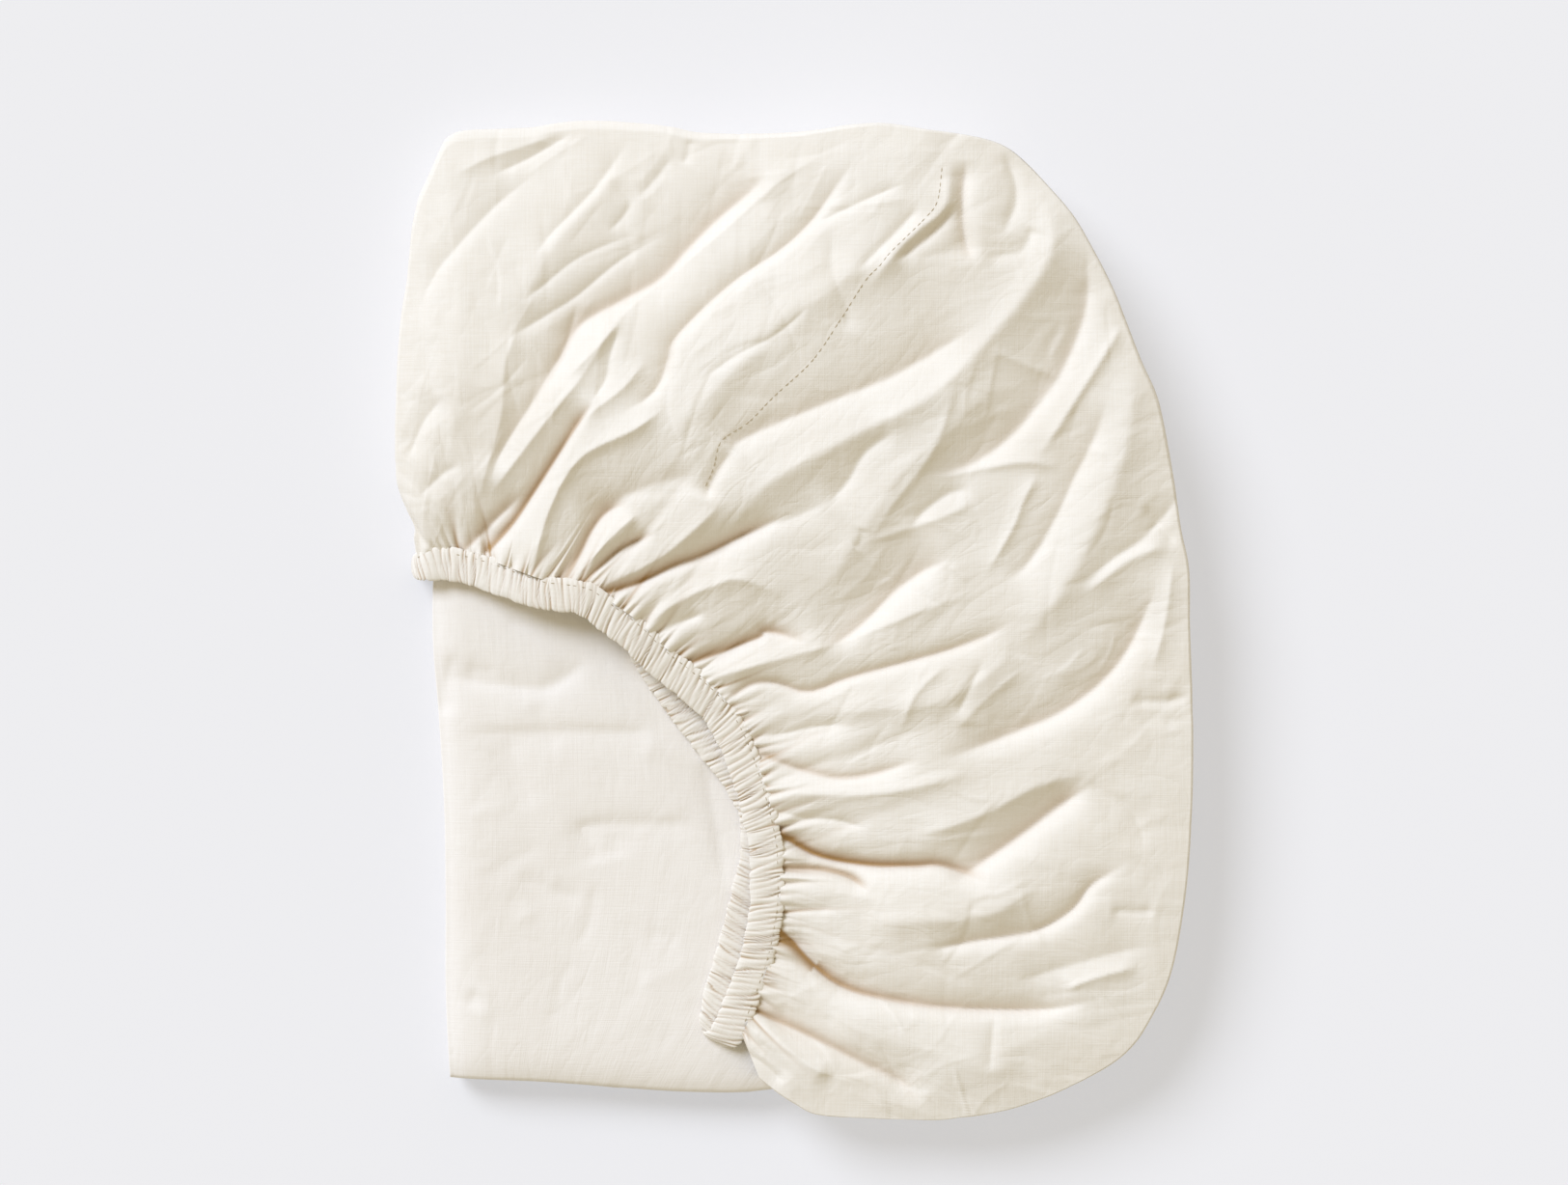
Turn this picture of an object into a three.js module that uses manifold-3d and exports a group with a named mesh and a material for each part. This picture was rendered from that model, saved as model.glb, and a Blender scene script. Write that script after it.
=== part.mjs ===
// A natural-white cotton fitted sheet, folded into a flat pack. The body of the sheet is folded back and
// forth into a packet of layers. A corner pocket, gathered by the elastic in its edge, is pulled over the
// packet as a hood, and its mouth curves from the left side of the pack to the bottom.
// Millimetres. +Z is up, +Y runs along the pack towards the closed end of the hood, and the pack lies on z = 0.

import * as THREE from 'three';
import Module from 'manifold-3d';

const wasm = await Module();
wasm.setup();

// Cloth
const clothThickness = 1.6;
const clothColour = '#f1ebdf';
const clothRoughness = 0.92;

// Packet of folded layers
const layerCount = 7;
const layerGap = 0.8;
const layerPitch = clothThickness + layerGap;
const packetTop = clothThickness + (layerCount - 1) * layerPitch;
const packetTopEnd = 165;

// Hood
const hoodClearance = 1;
const wallShare = 0.42;
const rimRound = 26;
const rimRoundShare = 0.8;
const riseShare = 0.55;
const undercut = 7;
const underLip = 34;
const mouthFoldShare = 0.45;
const mouthFoldReach = 0.2;

// Long axis of the pack: the sides of the hood face away from it
const axisTop = new THREE.Vector2(-30, 100);
const axisBottom = new THREE.Vector2(30, -95);

// Elastic edge: a flat gathered casing
const casingWidth = 12.4;
const casingThickness = 2.4;
const casingGap = 0.5;
const pleatPitch = 5.2;
const pleatSwell = 0.28;
const pleatInset = 0.7;
const innerCasingHeight = packetTop + 2.2;
const casingColour = '#ece5d7';
const casingRoughness = 0.95;

// Fineness of the surfaces
const hoodColumns = 92;
const hoodTopRows = 19;
const hoodWallRows = 4;
const foldSamples = 10;
const packetStations = 10;
const topLayerSteps = 10;
const layerSteps = 3;
const turnSteps = 4;
const casingSides = 8;
const stepsPerPleat = 3;

// Sections of the hood, from the left end of its mouth round the closed end to the bottom.
// Each runs from the sewn edge of the mouth to the widest point of the side, over a crown height.
// mouth x, mouth y, mouth z, side x, side y, crown z
const hoodSections = [
  [-138, 25.5, 18.6, -146.5, 24.5, 18.8],
  [-133, 26, 19.5, -149.5, 52, 24],
  [-125, 25, 20.5, -151, 89, 27],
  [-114, 22, 21.5, -146, 131, 29],
  [-103, 18, 23, -140, 165, 30],
  [-94, 15, 24.5, -129, 185, 30],
  [-85, 14, 25.5, -96, 189, 32],
  [-76, 12, 25.5, -52, 187, 34],
  [-67, 5.5, 25, -12, 184, 32.5],
  [-57, -2, 24.5, 28, 187, 32.5],
  [-48, -11, 24, 65, 182, 34],
  [-39, -18, 24, 87, 173, 34],
  [-32, -24, 24, 105, 153, 33.5],
  [-26, -30, 24, 120, 125, 34],
  [-20, -39, 24, 135, 89, 34],
  [-15, -50, 24, 143, 52, 34],
  [-11, -62, 24, 149, 15, 34],
  [-8, -73, 24, 150, -21, 34],
  [-5.5, -85, 24, 151, -58, 33.5],
  [-5, -96, 24, 150, -91, 33.5],
  [-5, -107, 24, 145, -120, 32.5],
  [-6.5, -118, 23.5, 135, -147, 34],
  [-9, -129, 23, 116, -166, 33],
  [-12, -138, 22.5, 91, -180, 31],
  [-14.5, -145, 22, 60, -189, 29],
  [-16.5, -150, 22, 25, -189, 27],
  [-18, -154, 22, 3, -186, 25],
  [-19.5, -157, 22, -10, -181, 23.5],
];

// Main folds of the hood: ridges stand up, troughs have a negative height.
// height, half width, start x, start y, middle x, middle y, end x, end y
const hoodFolds = [
  [-4, 6, -143, 118, -123, 151, -96, 175],
  [4.5, 9, -118, 114, -96, 149, -72, 178],
  [-4, 5.5, -100, 139, -85, 157, -67, 182],
  [-5.5, 6, -101, 83, -78, 121, -45, 144],
  [-5, 6, -45, 144, -30, 158, -15, 173],
  [5, 7, -90, 78, -67, 116, -30, 148],
  [4.5, 7, -30, 148, -8, 167, 16, 184],
  [-5.5, 6.5, -76, 78, -48, 109, -19, 134],
  [-4.5, 6.5, -19, 134, 7, 154, 18, 175],
  [5.5, 11, -67, 74, -30, 109, 14, 145],
  [-5, 7, -31, 56, -15, 78, 29, 100],
  [-4.5, 8, 29, 100, 51, 111, 65, 125],
  [-5.5, 6, 61, 125, 60, 149, 61, 175],
  [5.5, 9, -37, 36, -8, 68, 43, 93],
  [5.5, 9, 43, 93, 76, 120, 94, 147],
  [-7, 6, -76, 13, -37, 26, 8, 45],
  [-4.5, 7, 10, 46, 23, 67, 51, 84],
  [5.5, 8, -1, 19, 25, 52, 60, 90],
  [-6.5, 10, 54, 60, 87, 81, 110, 136],
  [-4.5, 7, 76, 21, 94, 43, 111, 74],
  [6.5, 12, 121, 109, 115, 59, 83, 4],
  [4, 9, 83, 4, 47, -17, 7, -26],
  [-4.5, 6, 106, 15, 124, 30, 143, 48],
  [-6.5, 10, 135, 19, 113, -18, 56, -48],
  [-5.5, 6, -23, -26, 21, -21, 80, -2],
  [-5, 6, -48, -14, -19, -4, 38, 15],
  [4, 7, -63, -5, -37, 15, -3, 11],
  [-4, 6, -14, -49, 14, -56, 51, -49],
  [4, 8, -8, -62, 36, -61, 69, -51],
  [-6.5, 6.5, -6, -79, 25, -89, 60, -90],
  [-5.5, 9, 60, -90, 83, -72, 109, -56],
  [5, 10, 14, -105, 65, -106, 94, -91],
  [-4, 7, 54, -121, 94, -112, 124, -89],
  [-6.5, 6.5, -5, -118, 29, -138, 69, -142],
  [-5.5, 7, 69, -142, 91, -142, 111, -138],
  [4.5, 9, 7, -142, 43, -154, 80, -153],
  [-5, 6.5, -14, -148, 21, -162, 49, -182],
  [-4, 6, -119, 54, -107, 81, -92, 102],
  [-5.5, 6, -118, 29, -100, 53, -78, 83],
  [4.5, 7, -107, 21, -92, 52, -59, 79],
  [-4.5, 5.5, -88, 17, -74, 35, -58, 46],
];

// Edges of the packet at stations from its bottom end to its top end: left x, right x
const packetEdges = [
  [-130, 58],
  [-131.5, 96],
  [-131.5, 114],
  [-132, 124],
  [-134, 126],
  [-136.5, 125],
  [-137, 119],
  [-134, 110],
  [-127, 98],
  [-118, 82],
  [-106, 58],
];

// Bottom end of the packet, across it from left to right: y
const packetBottomEnds = [-169, -171, -173, -174.5, -173, -166, -158];

// Soft creases pressed into the top layer where it shows.
// height, half width, start x, start y, middle x, middle y, end x, end y
const packetCreases = [
  [0.7, 9, -134, -28, -108, -24, -84, -12],
  [0.6, 8, -128, -42, -88, -41, -48, -40],
  [0.6, 9, -90, -76, -60, -74, -32, -75],
  [0.5, 12, -110, -96, -85, -105, -60, -118],
];

// Inner stretch of the casing, from the turn at the bottom back up under the outer stretch: x, y
const innerCasingPoints = [
  [-33.3, -151.5],
  [-31, -143],
  [-27, -131],
  [-22.7, -116],
  [-19, -100],
  [-17.6, -87],
  [-19, -72.5],
  [-24.5, -62],
  [-30.7, -53.4],
  [-38, -44],
  [-44.7, -35],
  [-51, -26.7],
  [-58, -17.6],
  [-63, -9.5],
];

const up = new THREE.Vector3(0, 0, 1);

/** Smooth value at share t, from 0 to 1, along an evenly spaced list. */
function along(values, t) {
  const place = t * (values.length - 1);
  const first = Math.min(Math.floor(place), values.length - 2);
  const blend = THREE.MathUtils.smoothstep(place - first, 0, 1);
  return THREE.MathUtils.lerp(values[first], values[first + 1], blend);
}

/** Centre line of a fold through its start, middle and end, as a row of points. */
function foldLine([height, halfWidth, x0, y0, x1, y1, x2, y2]) {
  const control = new THREE.Vector2(2 * x1 - (x0 + x2) / 2, 2 * y1 - (y0 + y2) / 2);
  const curve = new THREE.QuadraticBezierCurve(new THREE.Vector2(x0, y0), control, new THREE.Vector2(x2, y2));
  return { height, halfWidth, points: curve.getPoints(foldSamples) };
}

/** Height that all folds give the cloth at a point: a bell across each line, easing out past its ends. */
function foldHeight(lines, x, y) {
  let sum = 0;
  for (const { height, halfWidth, points } of lines) {
    let nearest = Infinity;
    for (let i = 0; i + 1 < points.length; i += 1) {
      const a = points[i];
      const b = points[i + 1];
      const dx = b.x - a.x;
      const dy = b.y - a.y;
      const share = THREE.MathUtils.clamp(((x - a.x) * dx + (y - a.y) * dy) / (dx * dx + dy * dy), 0, 1);
      nearest = Math.min(nearest, (x - a.x - share * dx) ** 2 + (y - a.y - share * dy) ** 2);
    }
    sum += height * Math.exp(-nearest / (halfWidth * halfWidth));
  }
  return sum;
}

/** Level direction that points away from the long axis of the pack. */
function outwardAt(point) {
  const axis = axisBottom.clone().sub(axisTop);
  const flat = new THREE.Vector2(point.x, point.y);
  const share = THREE.MathUtils.clamp(flat.clone().sub(axisTop).dot(axis) / axis.lengthSq(), 0, 1);
  const away = flat.sub(axisTop.clone().addScaledVector(axis, share)).normalize();
  return new THREE.Vector3(away.x, away.y, 0);
}

/** Closed solid between two grids of points of the same size, the front one facing outwards. */
function shellBetween(front, back) {
  const columns = front.length;
  const rows = front[0].length;
  const vertProperties = [];
  for (const grid of [front, back]) {
    for (const column of grid) {
      for (const point of column) vertProperties.push(point.x, point.y, point.z);
    }
  }
  const at = (side, i, j) => side * columns * rows + i * rows + j;
  const triVerts = [];
  const quad = (a, b, c, d) => triVerts.push(a, b, c, a, c, d);
  for (let i = 0; i + 1 < columns; i += 1) {
    for (let j = 0; j + 1 < rows; j += 1) {
      quad(at(0, i, j), at(0, i + 1, j), at(0, i + 1, j + 1), at(0, i, j + 1));
      quad(at(1, i, j), at(1, i, j + 1), at(1, i + 1, j + 1), at(1, i + 1, j));
    }
    quad(at(1, i, 0), at(1, i + 1, 0), at(0, i + 1, 0), at(0, i, 0));
    const last = rows - 1;
    quad(at(0, i, last), at(0, i + 1, last), at(1, i + 1, last), at(1, i, last));
  }
  for (let j = 0; j + 1 < rows; j += 1) {
    quad(at(0, 0, j), at(0, 0, j + 1), at(1, 0, j + 1), at(1, 0, j));
    const last = columns - 1;
    quad(at(1, last, j), at(1, last, j + 1), at(0, last, j + 1), at(0, last, j));
  }
  return { vertProperties, triVerts };
}

/** Closed solid of like rings of points, one after another, capped at both ends. */
function tubeOf(rings) {
  const sides = rings[0].length;
  const vertProperties = rings.flat().flatMap((point) => [point.x, point.y, point.z]);
  const triVerts = [];
  for (let i = 0; i + 1 < rings.length; i += 1) {
    for (let k = 0; k < sides; k += 1) {
      const a = i * sides + k;
      const b = i * sides + ((k + 1) % sides);
      triVerts.push(a, b, b + sides, a, b + sides, a + sides);
    }
  }
  return { vertProperties, triVerts, sides, lastRing: (rings.length - 1) * sides };
}

function solidOf({ vertProperties, triVerts }) {
  return new wasm.Manifold(
    new wasm.Mesh({
      numProp: 3,
      vertProperties: new Float32Array(vertProperties),
      triVerts: new Uint32Array(triVerts),
    }),
  );
}

function geometryOf(solid) {
  const mesh = solid.getMesh();
  const geometry = new THREE.BufferGeometry();
  geometry.setAttribute('position', new THREE.BufferAttribute(mesh.vertProperties, 3));
  geometry.setIndex(new THREE.BufferAttribute(mesh.triVerts, 1));
  geometry.computeVertexNormals();
  return geometry;
}

const mouthCurve = new THREE.CatmullRomCurve3(
  hoodSections.map(([x, y, z]) => new THREE.Vector3(x, y, z)),
);
const sideCurve = new THREE.CatmullRomCurve3(
  hoodSections.map(([, , , x, y, crown]) => new THREE.Vector3(x, y, crown)),
);

/**
 * One section of the hood, as points on the outside of the cloth and on its inside. From the mouth the cloth
 * rises to its crown, rounds over the side, turns in at the bottom and runs on under the packet as a lip.
 */
function hoodSection(share, lines) {
  const mouth = mouthCurve.getPoint(share);
  const side = sideCurve.getPoint(share);
  const crown = side.z;
  const outward = outwardAt(side);
  const run = new THREE.Vector2(side.x - mouth.x, side.y - mouth.y);
  const length = run.length();
  const round = Math.min(rimRound, rimRoundShare * length);
  const wallTop = wallShare * crown;
  const lowest = packetTop + hoodClearance + clothThickness;
  const outside = [];
  const inside = [];
  const place = (point, facing) => {
    outside.push(point);
    inside.push(point.clone().addScaledVector(facing, -clothThickness));
  };

  for (let j = 0; j <= hoodTopRows; j += 1) {
    const f = 1 - (1 - j / hoodTopRows) ** 1.6;
    const rise = Math.sin((Math.PI / 2) * Math.min(1, f / riseShare));
    const open = mouth.z + (crown - mouth.z) * rise;
    const tip = Math.max(0, 1 - ((1 - f) * length) / round);
    const level = Math.sqrt(1 - tip * tip);
    const facing = outward.clone().multiplyScalar(tip).addScaledVector(up, level);
    const point = new THREE.Vector3(mouth.x + f * run.x, mouth.y + f * run.y, wallTop + (open - wallTop) * level);
    const hold = THREE.MathUtils.smoothstep(f, 0, mouthFoldReach);
    const share = THREE.MathUtils.lerp(mouthFoldShare, 1, hold) * THREE.MathUtils.lerp(1, 0.5, tip);
    point.addScaledVector(facing, share * foldHeight(lines, point.x, point.y));
    if (tip < 0.5) point.z = Math.max(point.z, lowest);
    place(point, facing);
  }

  for (let j = 1; j <= hoodWallRows; j += 1) {
    const angle = ((Math.PI / 2) * j) / hoodWallRows;
    const inset = undercut * (1 - Math.cos(angle));
    const point = new THREE.Vector3(side.x, side.y, wallTop * (1 - Math.sin(angle)));
    const facing = outward.clone().multiplyScalar(Math.cos(angle)).addScaledVector(up, -Math.sin(angle));
    const swell = 0.5 * foldHeight(lines, side.x, side.y) * Math.cos(angle);
    point.addScaledVector(outward, swell - inset);
    place(point, facing);
  }

  const end = outside.at(-1).clone().addScaledVector(outward, -underLip);
  place(end, up.clone().negate());
  return { outside, inside };
}

function makeHood() {
  const lines = hoodFolds.map(foldLine);
  const sections = [];
  for (let i = 0; i <= hoodColumns; i += 1) sections.push(hoodSection(i / hoodColumns, lines));
  return solidOf(shellBetween(sections.map((s) => s.outside), sections.map((s) => s.inside)));
}

/**
 * Middle line of the folded layers, seen along the pack: straight runs from edge to edge, one above another,
 * joined by half turns. Each point has its share across the packet, an offset past the edge, its height and
 * the direction across the cloth.
 */
function layerPath() {
  const path = [];
  for (let layer = 0; layer < layerCount; layer += 1) {
    const height = clothThickness / 2 + layer * layerPitch;
    const rightwards = layer % 2 === 0;
    const isTop = layer === layerCount - 1;
    const steps = isTop ? topLayerSteps : layerSteps;
    const normal = { x: 0, z: rightwards ? 1 : -1 };
    for (let i = 0; i <= steps; i += 1) {
      const share = rightwards ? i / steps : 1 - i / steps;
      path.push({ share, offset: 0, height, normal, isTop });
    }
    if (isTop) break;
    const way = rightwards ? 1 : -1;
    const radius = layerPitch / 2;
    for (let i = 1; i < turnSteps; i += 1) {
      const angle = (Math.PI * i) / turnSteps - Math.PI / 2;
      path.push({
        share: rightwards ? 1 : 0,
        offset: way * radius * Math.cos(angle),
        height: height + radius + radius * Math.sin(angle),
        normal: { x: -Math.cos(angle), z: -way * Math.sin(angle) },
        isTop: false,
      });
    }
  }
  return path;
}

function makePacket() {
  const path = layerPath();
  const creases = packetCreases.map(foldLine);
  const lefts = packetEdges.map(([left]) => left);
  const rights = packetEdges.map(([, right]) => right);
  const pointAt = ({ share, offset, height, normal, isTop }, t, side) => {
    const x = THREE.MathUtils.lerp(along(lefts, t), along(rights, t), share) + offset;
    const y = THREE.MathUtils.lerp(along(packetBottomEnds, share), packetTopEnd, t);
    const crease = isTop ? foldHeight(creases, x, y) : 0;
    const half = (side * clothThickness) / 2;
    const lean = normal.x * (offset < 0 ? 1 : Math.sign(offset) || 0);
    return new THREE.Vector3(x + half * lean, y, height + crease + half * normal.z);
  };
  const rings = [];
  for (let j = 0; j <= packetStations; j += 1) {
    const t = j / packetStations;
    const upper = path.map((step) => pointAt(step, t, 1));
    const lower = path.map((step) => pointAt(step, t, -1));
    rings.push([...upper, ...lower.reverse()]);
  }
  const tube = tubeOf(rings);
  const half = path.length;
  for (let k = 0; k + 1 < half; k += 1) {
    const a = k;
    const b = k + 1;
    const c = 2 * half - 2 - k;
    const d = 2 * half - 1 - k;
    tube.triVerts.push(a, c, b, a, d, c);
    const top = tube.lastRing;
    tube.triVerts.push(top + a, top + b, top + c, top + a, top + c, top + d);
  }
  return solidOf(tube);
}

/**
 * Route of the casing and the level direction across it at each point: up the left side of the pack, along
 * the mouth of the hood, round the turn at the bottom and back along the packet.
 */
function casingRoute() {
  const route = [];
  const reach = casingWidth / 2 + casingGap;
  const drop = clothThickness / 2;
  const sections = hoodSections.length - 1;
  for (let i = 1; i <= sections; i += 1) {
    const mouth = mouthCurve.getPoint(i / sections);
    const tangent = mouthCurve.getTangent(i / sections);
    const across = new THREE.Vector3(-tangent.y, tangent.x, 0).normalize();
    const point = mouth.addScaledVector(across, -reach).addScaledVector(up, -drop);
    route.push({ point, across });
  }
  const first = route[0];
  const climb = [
    [-147.6, -3, 1.6],
    [-147.8, -2.6, 8],
    [-146, -1.8, 14.5],
    [-141, -0.8, 18.2],
  ].map(([x, dy, z]) => ({ point: new THREE.Vector3(x, first.point.y + dy, z), across: first.across }));

  const last = route.at(-1);
  const turn = [
    [-2.6, -4.2, -1],
    [-6, -3.6, -3],
  ].map(([dx, dy, dz]) => ({
    point: last.point.clone().add(new THREE.Vector3(dx, dy, dz)),
    across: last.across,
  }));

  const inner = new THREE.CatmullRomCurve3(
    innerCasingPoints.map(([x, y]) => new THREE.Vector3(x, y, innerCasingHeight)),
  );
  const back = innerCasingPoints.map((_, i) => {
    const t = i / (innerCasingPoints.length - 1);
    const tangent = inner.getTangent(t);
    return { point: inner.getPoint(t), across: new THREE.Vector3(tangent.y, -tangent.x, 0).normalize() };
  });
  return [...climb, ...route, ...turn, ...back];
}

/** Gathered casing: a flat rounded section carried along the route, swelling and drawing in at each pleat. */
function makeCasing() {
  const route = casingRoute();
  const curve = new THREE.CatmullRomCurve3(route.map(({ point }) => point));
  const acrossCurve = new THREE.CatmullRomCurve3(route.map(({ across }) => across));
  const length = curve.getLength();
  const steps = Math.round(length / pleatPitch) * stepsPerPleat;
  const rings = [];
  for (let i = 0; i <= steps; i += 1) {
    const t = curve.getUtoTmapping(i / steps);
    const centre = curve.getPoint(t);
    const across = acrossCurve.getPoint(t).normalize();
    const facing = curve.getTangent(t).cross(across).normalize();
    const pleat = Math.cos((2 * Math.PI * i) / stepsPerPleat);
    const halfWidth = casingWidth / 2 - pleatInset * (1 - pleat) * 0.5;
    const halfThickness = (casingThickness / 2) * (1 + pleatSwell * pleat);
    const ring = [];
    for (let k = 0; k < casingSides; k += 1) {
      const angle = (2 * Math.PI * (k + 0.5)) / casingSides;
      const a = Math.sign(Math.cos(angle)) * Math.abs(Math.cos(angle)) ** 0.6 * halfWidth;
      const b = Math.sign(Math.sin(angle)) * Math.abs(Math.sin(angle)) ** 0.6 * halfThickness;
      ring.push(centre.clone().addScaledVector(across, a).addScaledVector(facing, b));
    }
    rings.push(ring);
  }
  const tube = tubeOf(rings);
  for (let k = 1; k + 1 < tube.sides; k += 1) {
    tube.triVerts.push(0, k + 1, k);
    tube.triVerts.push(tube.lastRing, tube.lastRing + k, tube.lastRing + k + 1);
  }
  return solidOf(tube);
}

const cloth = new THREE.Mesh(
  geometryOf(makeHood().add(makePacket())),
  new THREE.MeshStandardMaterial({ color: clothColour, roughness: clothRoughness, metalness: 0 }),
);
cloth.name = 'cloth';

const elasticEdge = new THREE.Mesh(
  geometryOf(makeCasing()),
  new THREE.MeshStandardMaterial({ color: casingColour, roughness: casingRoughness, metalness: 0 }),
);
elasticEdge.name = 'elastic_edge';

const fittedSheet = new THREE.Group();
fittedSheet.add(cloth, elasticEdge);

export default fittedSheet;
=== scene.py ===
# A natural-white cotton fitted sheet, folded into a flat pack with one gathered corner pocket over it.
# The file follows the sheet as it is put together: hood, packet, elastic edge, sewing, then the studio.
import math

import bpy
import numpy as np
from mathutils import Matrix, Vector
from mathutils.bvhtree import BVHTree


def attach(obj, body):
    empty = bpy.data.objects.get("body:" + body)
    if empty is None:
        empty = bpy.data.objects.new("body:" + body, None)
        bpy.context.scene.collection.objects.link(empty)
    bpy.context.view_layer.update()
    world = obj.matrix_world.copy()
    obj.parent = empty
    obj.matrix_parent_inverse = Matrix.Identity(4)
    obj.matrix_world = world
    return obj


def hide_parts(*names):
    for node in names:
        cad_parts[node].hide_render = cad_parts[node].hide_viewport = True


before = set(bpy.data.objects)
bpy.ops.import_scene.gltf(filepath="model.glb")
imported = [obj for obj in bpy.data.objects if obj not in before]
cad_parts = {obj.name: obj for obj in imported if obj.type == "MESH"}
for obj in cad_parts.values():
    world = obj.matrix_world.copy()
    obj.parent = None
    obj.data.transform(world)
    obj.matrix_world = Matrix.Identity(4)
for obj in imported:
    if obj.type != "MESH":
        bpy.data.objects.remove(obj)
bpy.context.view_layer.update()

# The hood is one corner pocket of the sheet, pulled over the folded packet with its elastic mouth towards the
# lower left. It is a single ply of washed cotton percale, gathered at the mouth, crumpled over the crown,
# rounded at the sides and turned in under the pack.
MM = 0.001
NATURAL_WHITE = "#F1ECE2"
NATURAL_SHADE = "#EDE6D9"
# Warm dark brown painted into the cloth's colour as shade, deep in folds, tucks and pleat lines
PAINTED_FOLD_SHADE = "#A67A2C"
CLOTH_THICKNESS = 0.9
PACKET_TOP = 16.0
HOOD_CLEARANCE = 0.6
HOOD_SEED = 7

# Middle line of the pack, which the rim faces away from, and the level way of the light
PACK_AXIS = np.array([(-30.0, 100.0), (30.0, -95.0)])
LAMP_WAY = np.array([0.72, -0.69])

# Form of the hood in mm and in shares: rise from the mouth, rim, slump towards the rim, side, lip and dents
HOOD_RISE_SHARE = 0.55
HOOD_RIM_ROUND = 0.8
HOOD_RIM_SOFT = 3.0
HOOD_RIM_SHARE = 0.8
HOOD_RIM_POWER = 2.4
HOOD_SLUMP = 11.0
HOOD_SLUMP_REACH = 90.0
HOOD_FAR_SLUMP = 3.2
HOOD_FAR_REACH = 34.0
HOOD_WALL_SHARE = 0.6
HOOD_UNDERCUT = 7.0
HOOD_SIDE_GIRTH = 20.0
HOOD_UNDER_LIP = 12.0
HOOD_DENT_STEP = 15.0
HOOD_DENT_DEEP = 4.5
HOOD_DENT_LEAN = 9.0

# Share of the folds' height, the part of it left at the sewing and how far out that holds, the reach of the
# spine, the dip at the sewing, the most shade painted into creases and the stretch of the crumple along the
# mouth
HOOD_RELIEF = 1.03
HOOD_HELD = 0.45
HOOD_HELD_REACH = 12.0
HOOD_SPINE_REACH = 70.0
HOOD_SEWN_DIP = 0.2
HOOD_SEWN_REACH = 2.0
HOOD_PAINTED_SHADE_MOST = 0.9
HOOD_RUN_STRETCH = 1.8

# A fold: samples of its line, reach in widths, share of the line over which an end runs out, what is left at
# the tip, how near the mouth a held fold starts, how far its crest lies past its brightest line, and the
# width from which it is rounder, ridges sooner than troughs
FOLD_SAMPLES = 26
FOLD_REACH = 6.5
FOLD_END_SHARE = 0.25
FOLD_TIP = 0.1
FOLD_HELD_WITHIN = 12.0
FOLD_PAST = 1.2
FOLD_PAST_SHARE = 0.8
FOLD_PAST_MOST = 9.0
FOLD_CRISP_WIDTH = 3.0
RIDGE_ROUNDING = 20.0
TROUGH_ROUNDING = 34.0

# A trough deeper than this gets shade painted into its colour: it opens over this run, is painted dark at its
# bottom line and warm on the flank below the lamp
CREVICE_SHADE_FROM = 3.0
CREVICE_SHADE_RUN = 270.0
CREVICE_PAINTED_DARK = 0.8
CREVICE_PAINTED_WARM = 0.33
CREVICE_SHADE_EDGE = 0.6

# Gathers at the mouth: step along it, height and reach outwards in mm, and how much shade is painted into
# their tucks
GATHERS = [(3.3, 2.0, 4.2, 0.8), (7.6, 2.7, 11.0, 0.9), (21.0, 2.4, 40.0, 0.2)]

# Small creases: count, height and width in mm, and the x to the left of which they are half as high
CREASE_COUNT = 640
CREASE_HEIGHT = (0.08, 0.4)
CREASE_WIDTH = (1.1, 2.3)
CREASE_CALM_X = -118

# Steps of the mesh: columns of the panel on each side of the corner seam, rows from the mouth to the lip
HOOD_LEFT_COLUMNS = 401
HOOD_RIGHT_COLUMNS = 425
HOOD_TOP_ROWS = 201
HOOD_WALL_ROWS = 9
HOOD_LIP_ROWS = 3
HOOD_BACK_STEP = 4

# Mouth of the hood along its sewn edge, from its left end to its bottom end: x, y, z in mm
HOOD_MOUTH = [
    (-138, 25.5, 18.6), (-133, 26, 19.5), (-125, 25, 20.5), (-114, 22, 22.5), (-103, 18, 25),
    (-94, 15, 27.5), (-85, 14, 29), (-76, 12, 29.5), (-67, 5.5, 29), (-57, -2, 28), (-48, -11, 26.5),
    (-39, -18, 25.5), (-32, -24, 25), (-26, -30, 24.5), (-20, -39, 24), (-15, -50, 24), (-11, -62, 24),
    (-8, -73, 24), (-5.5, -85, 24), (-5, -96, 24), (-5, -107, 24), (-6.5, -118, 23.5), (-9, -129, 23),
    (-12, -138, 22.5), (-14.5, -145, 22), (-16.5, -150, 22), (-18, -154, 22), (-19.5, -157, 22),
]

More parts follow.
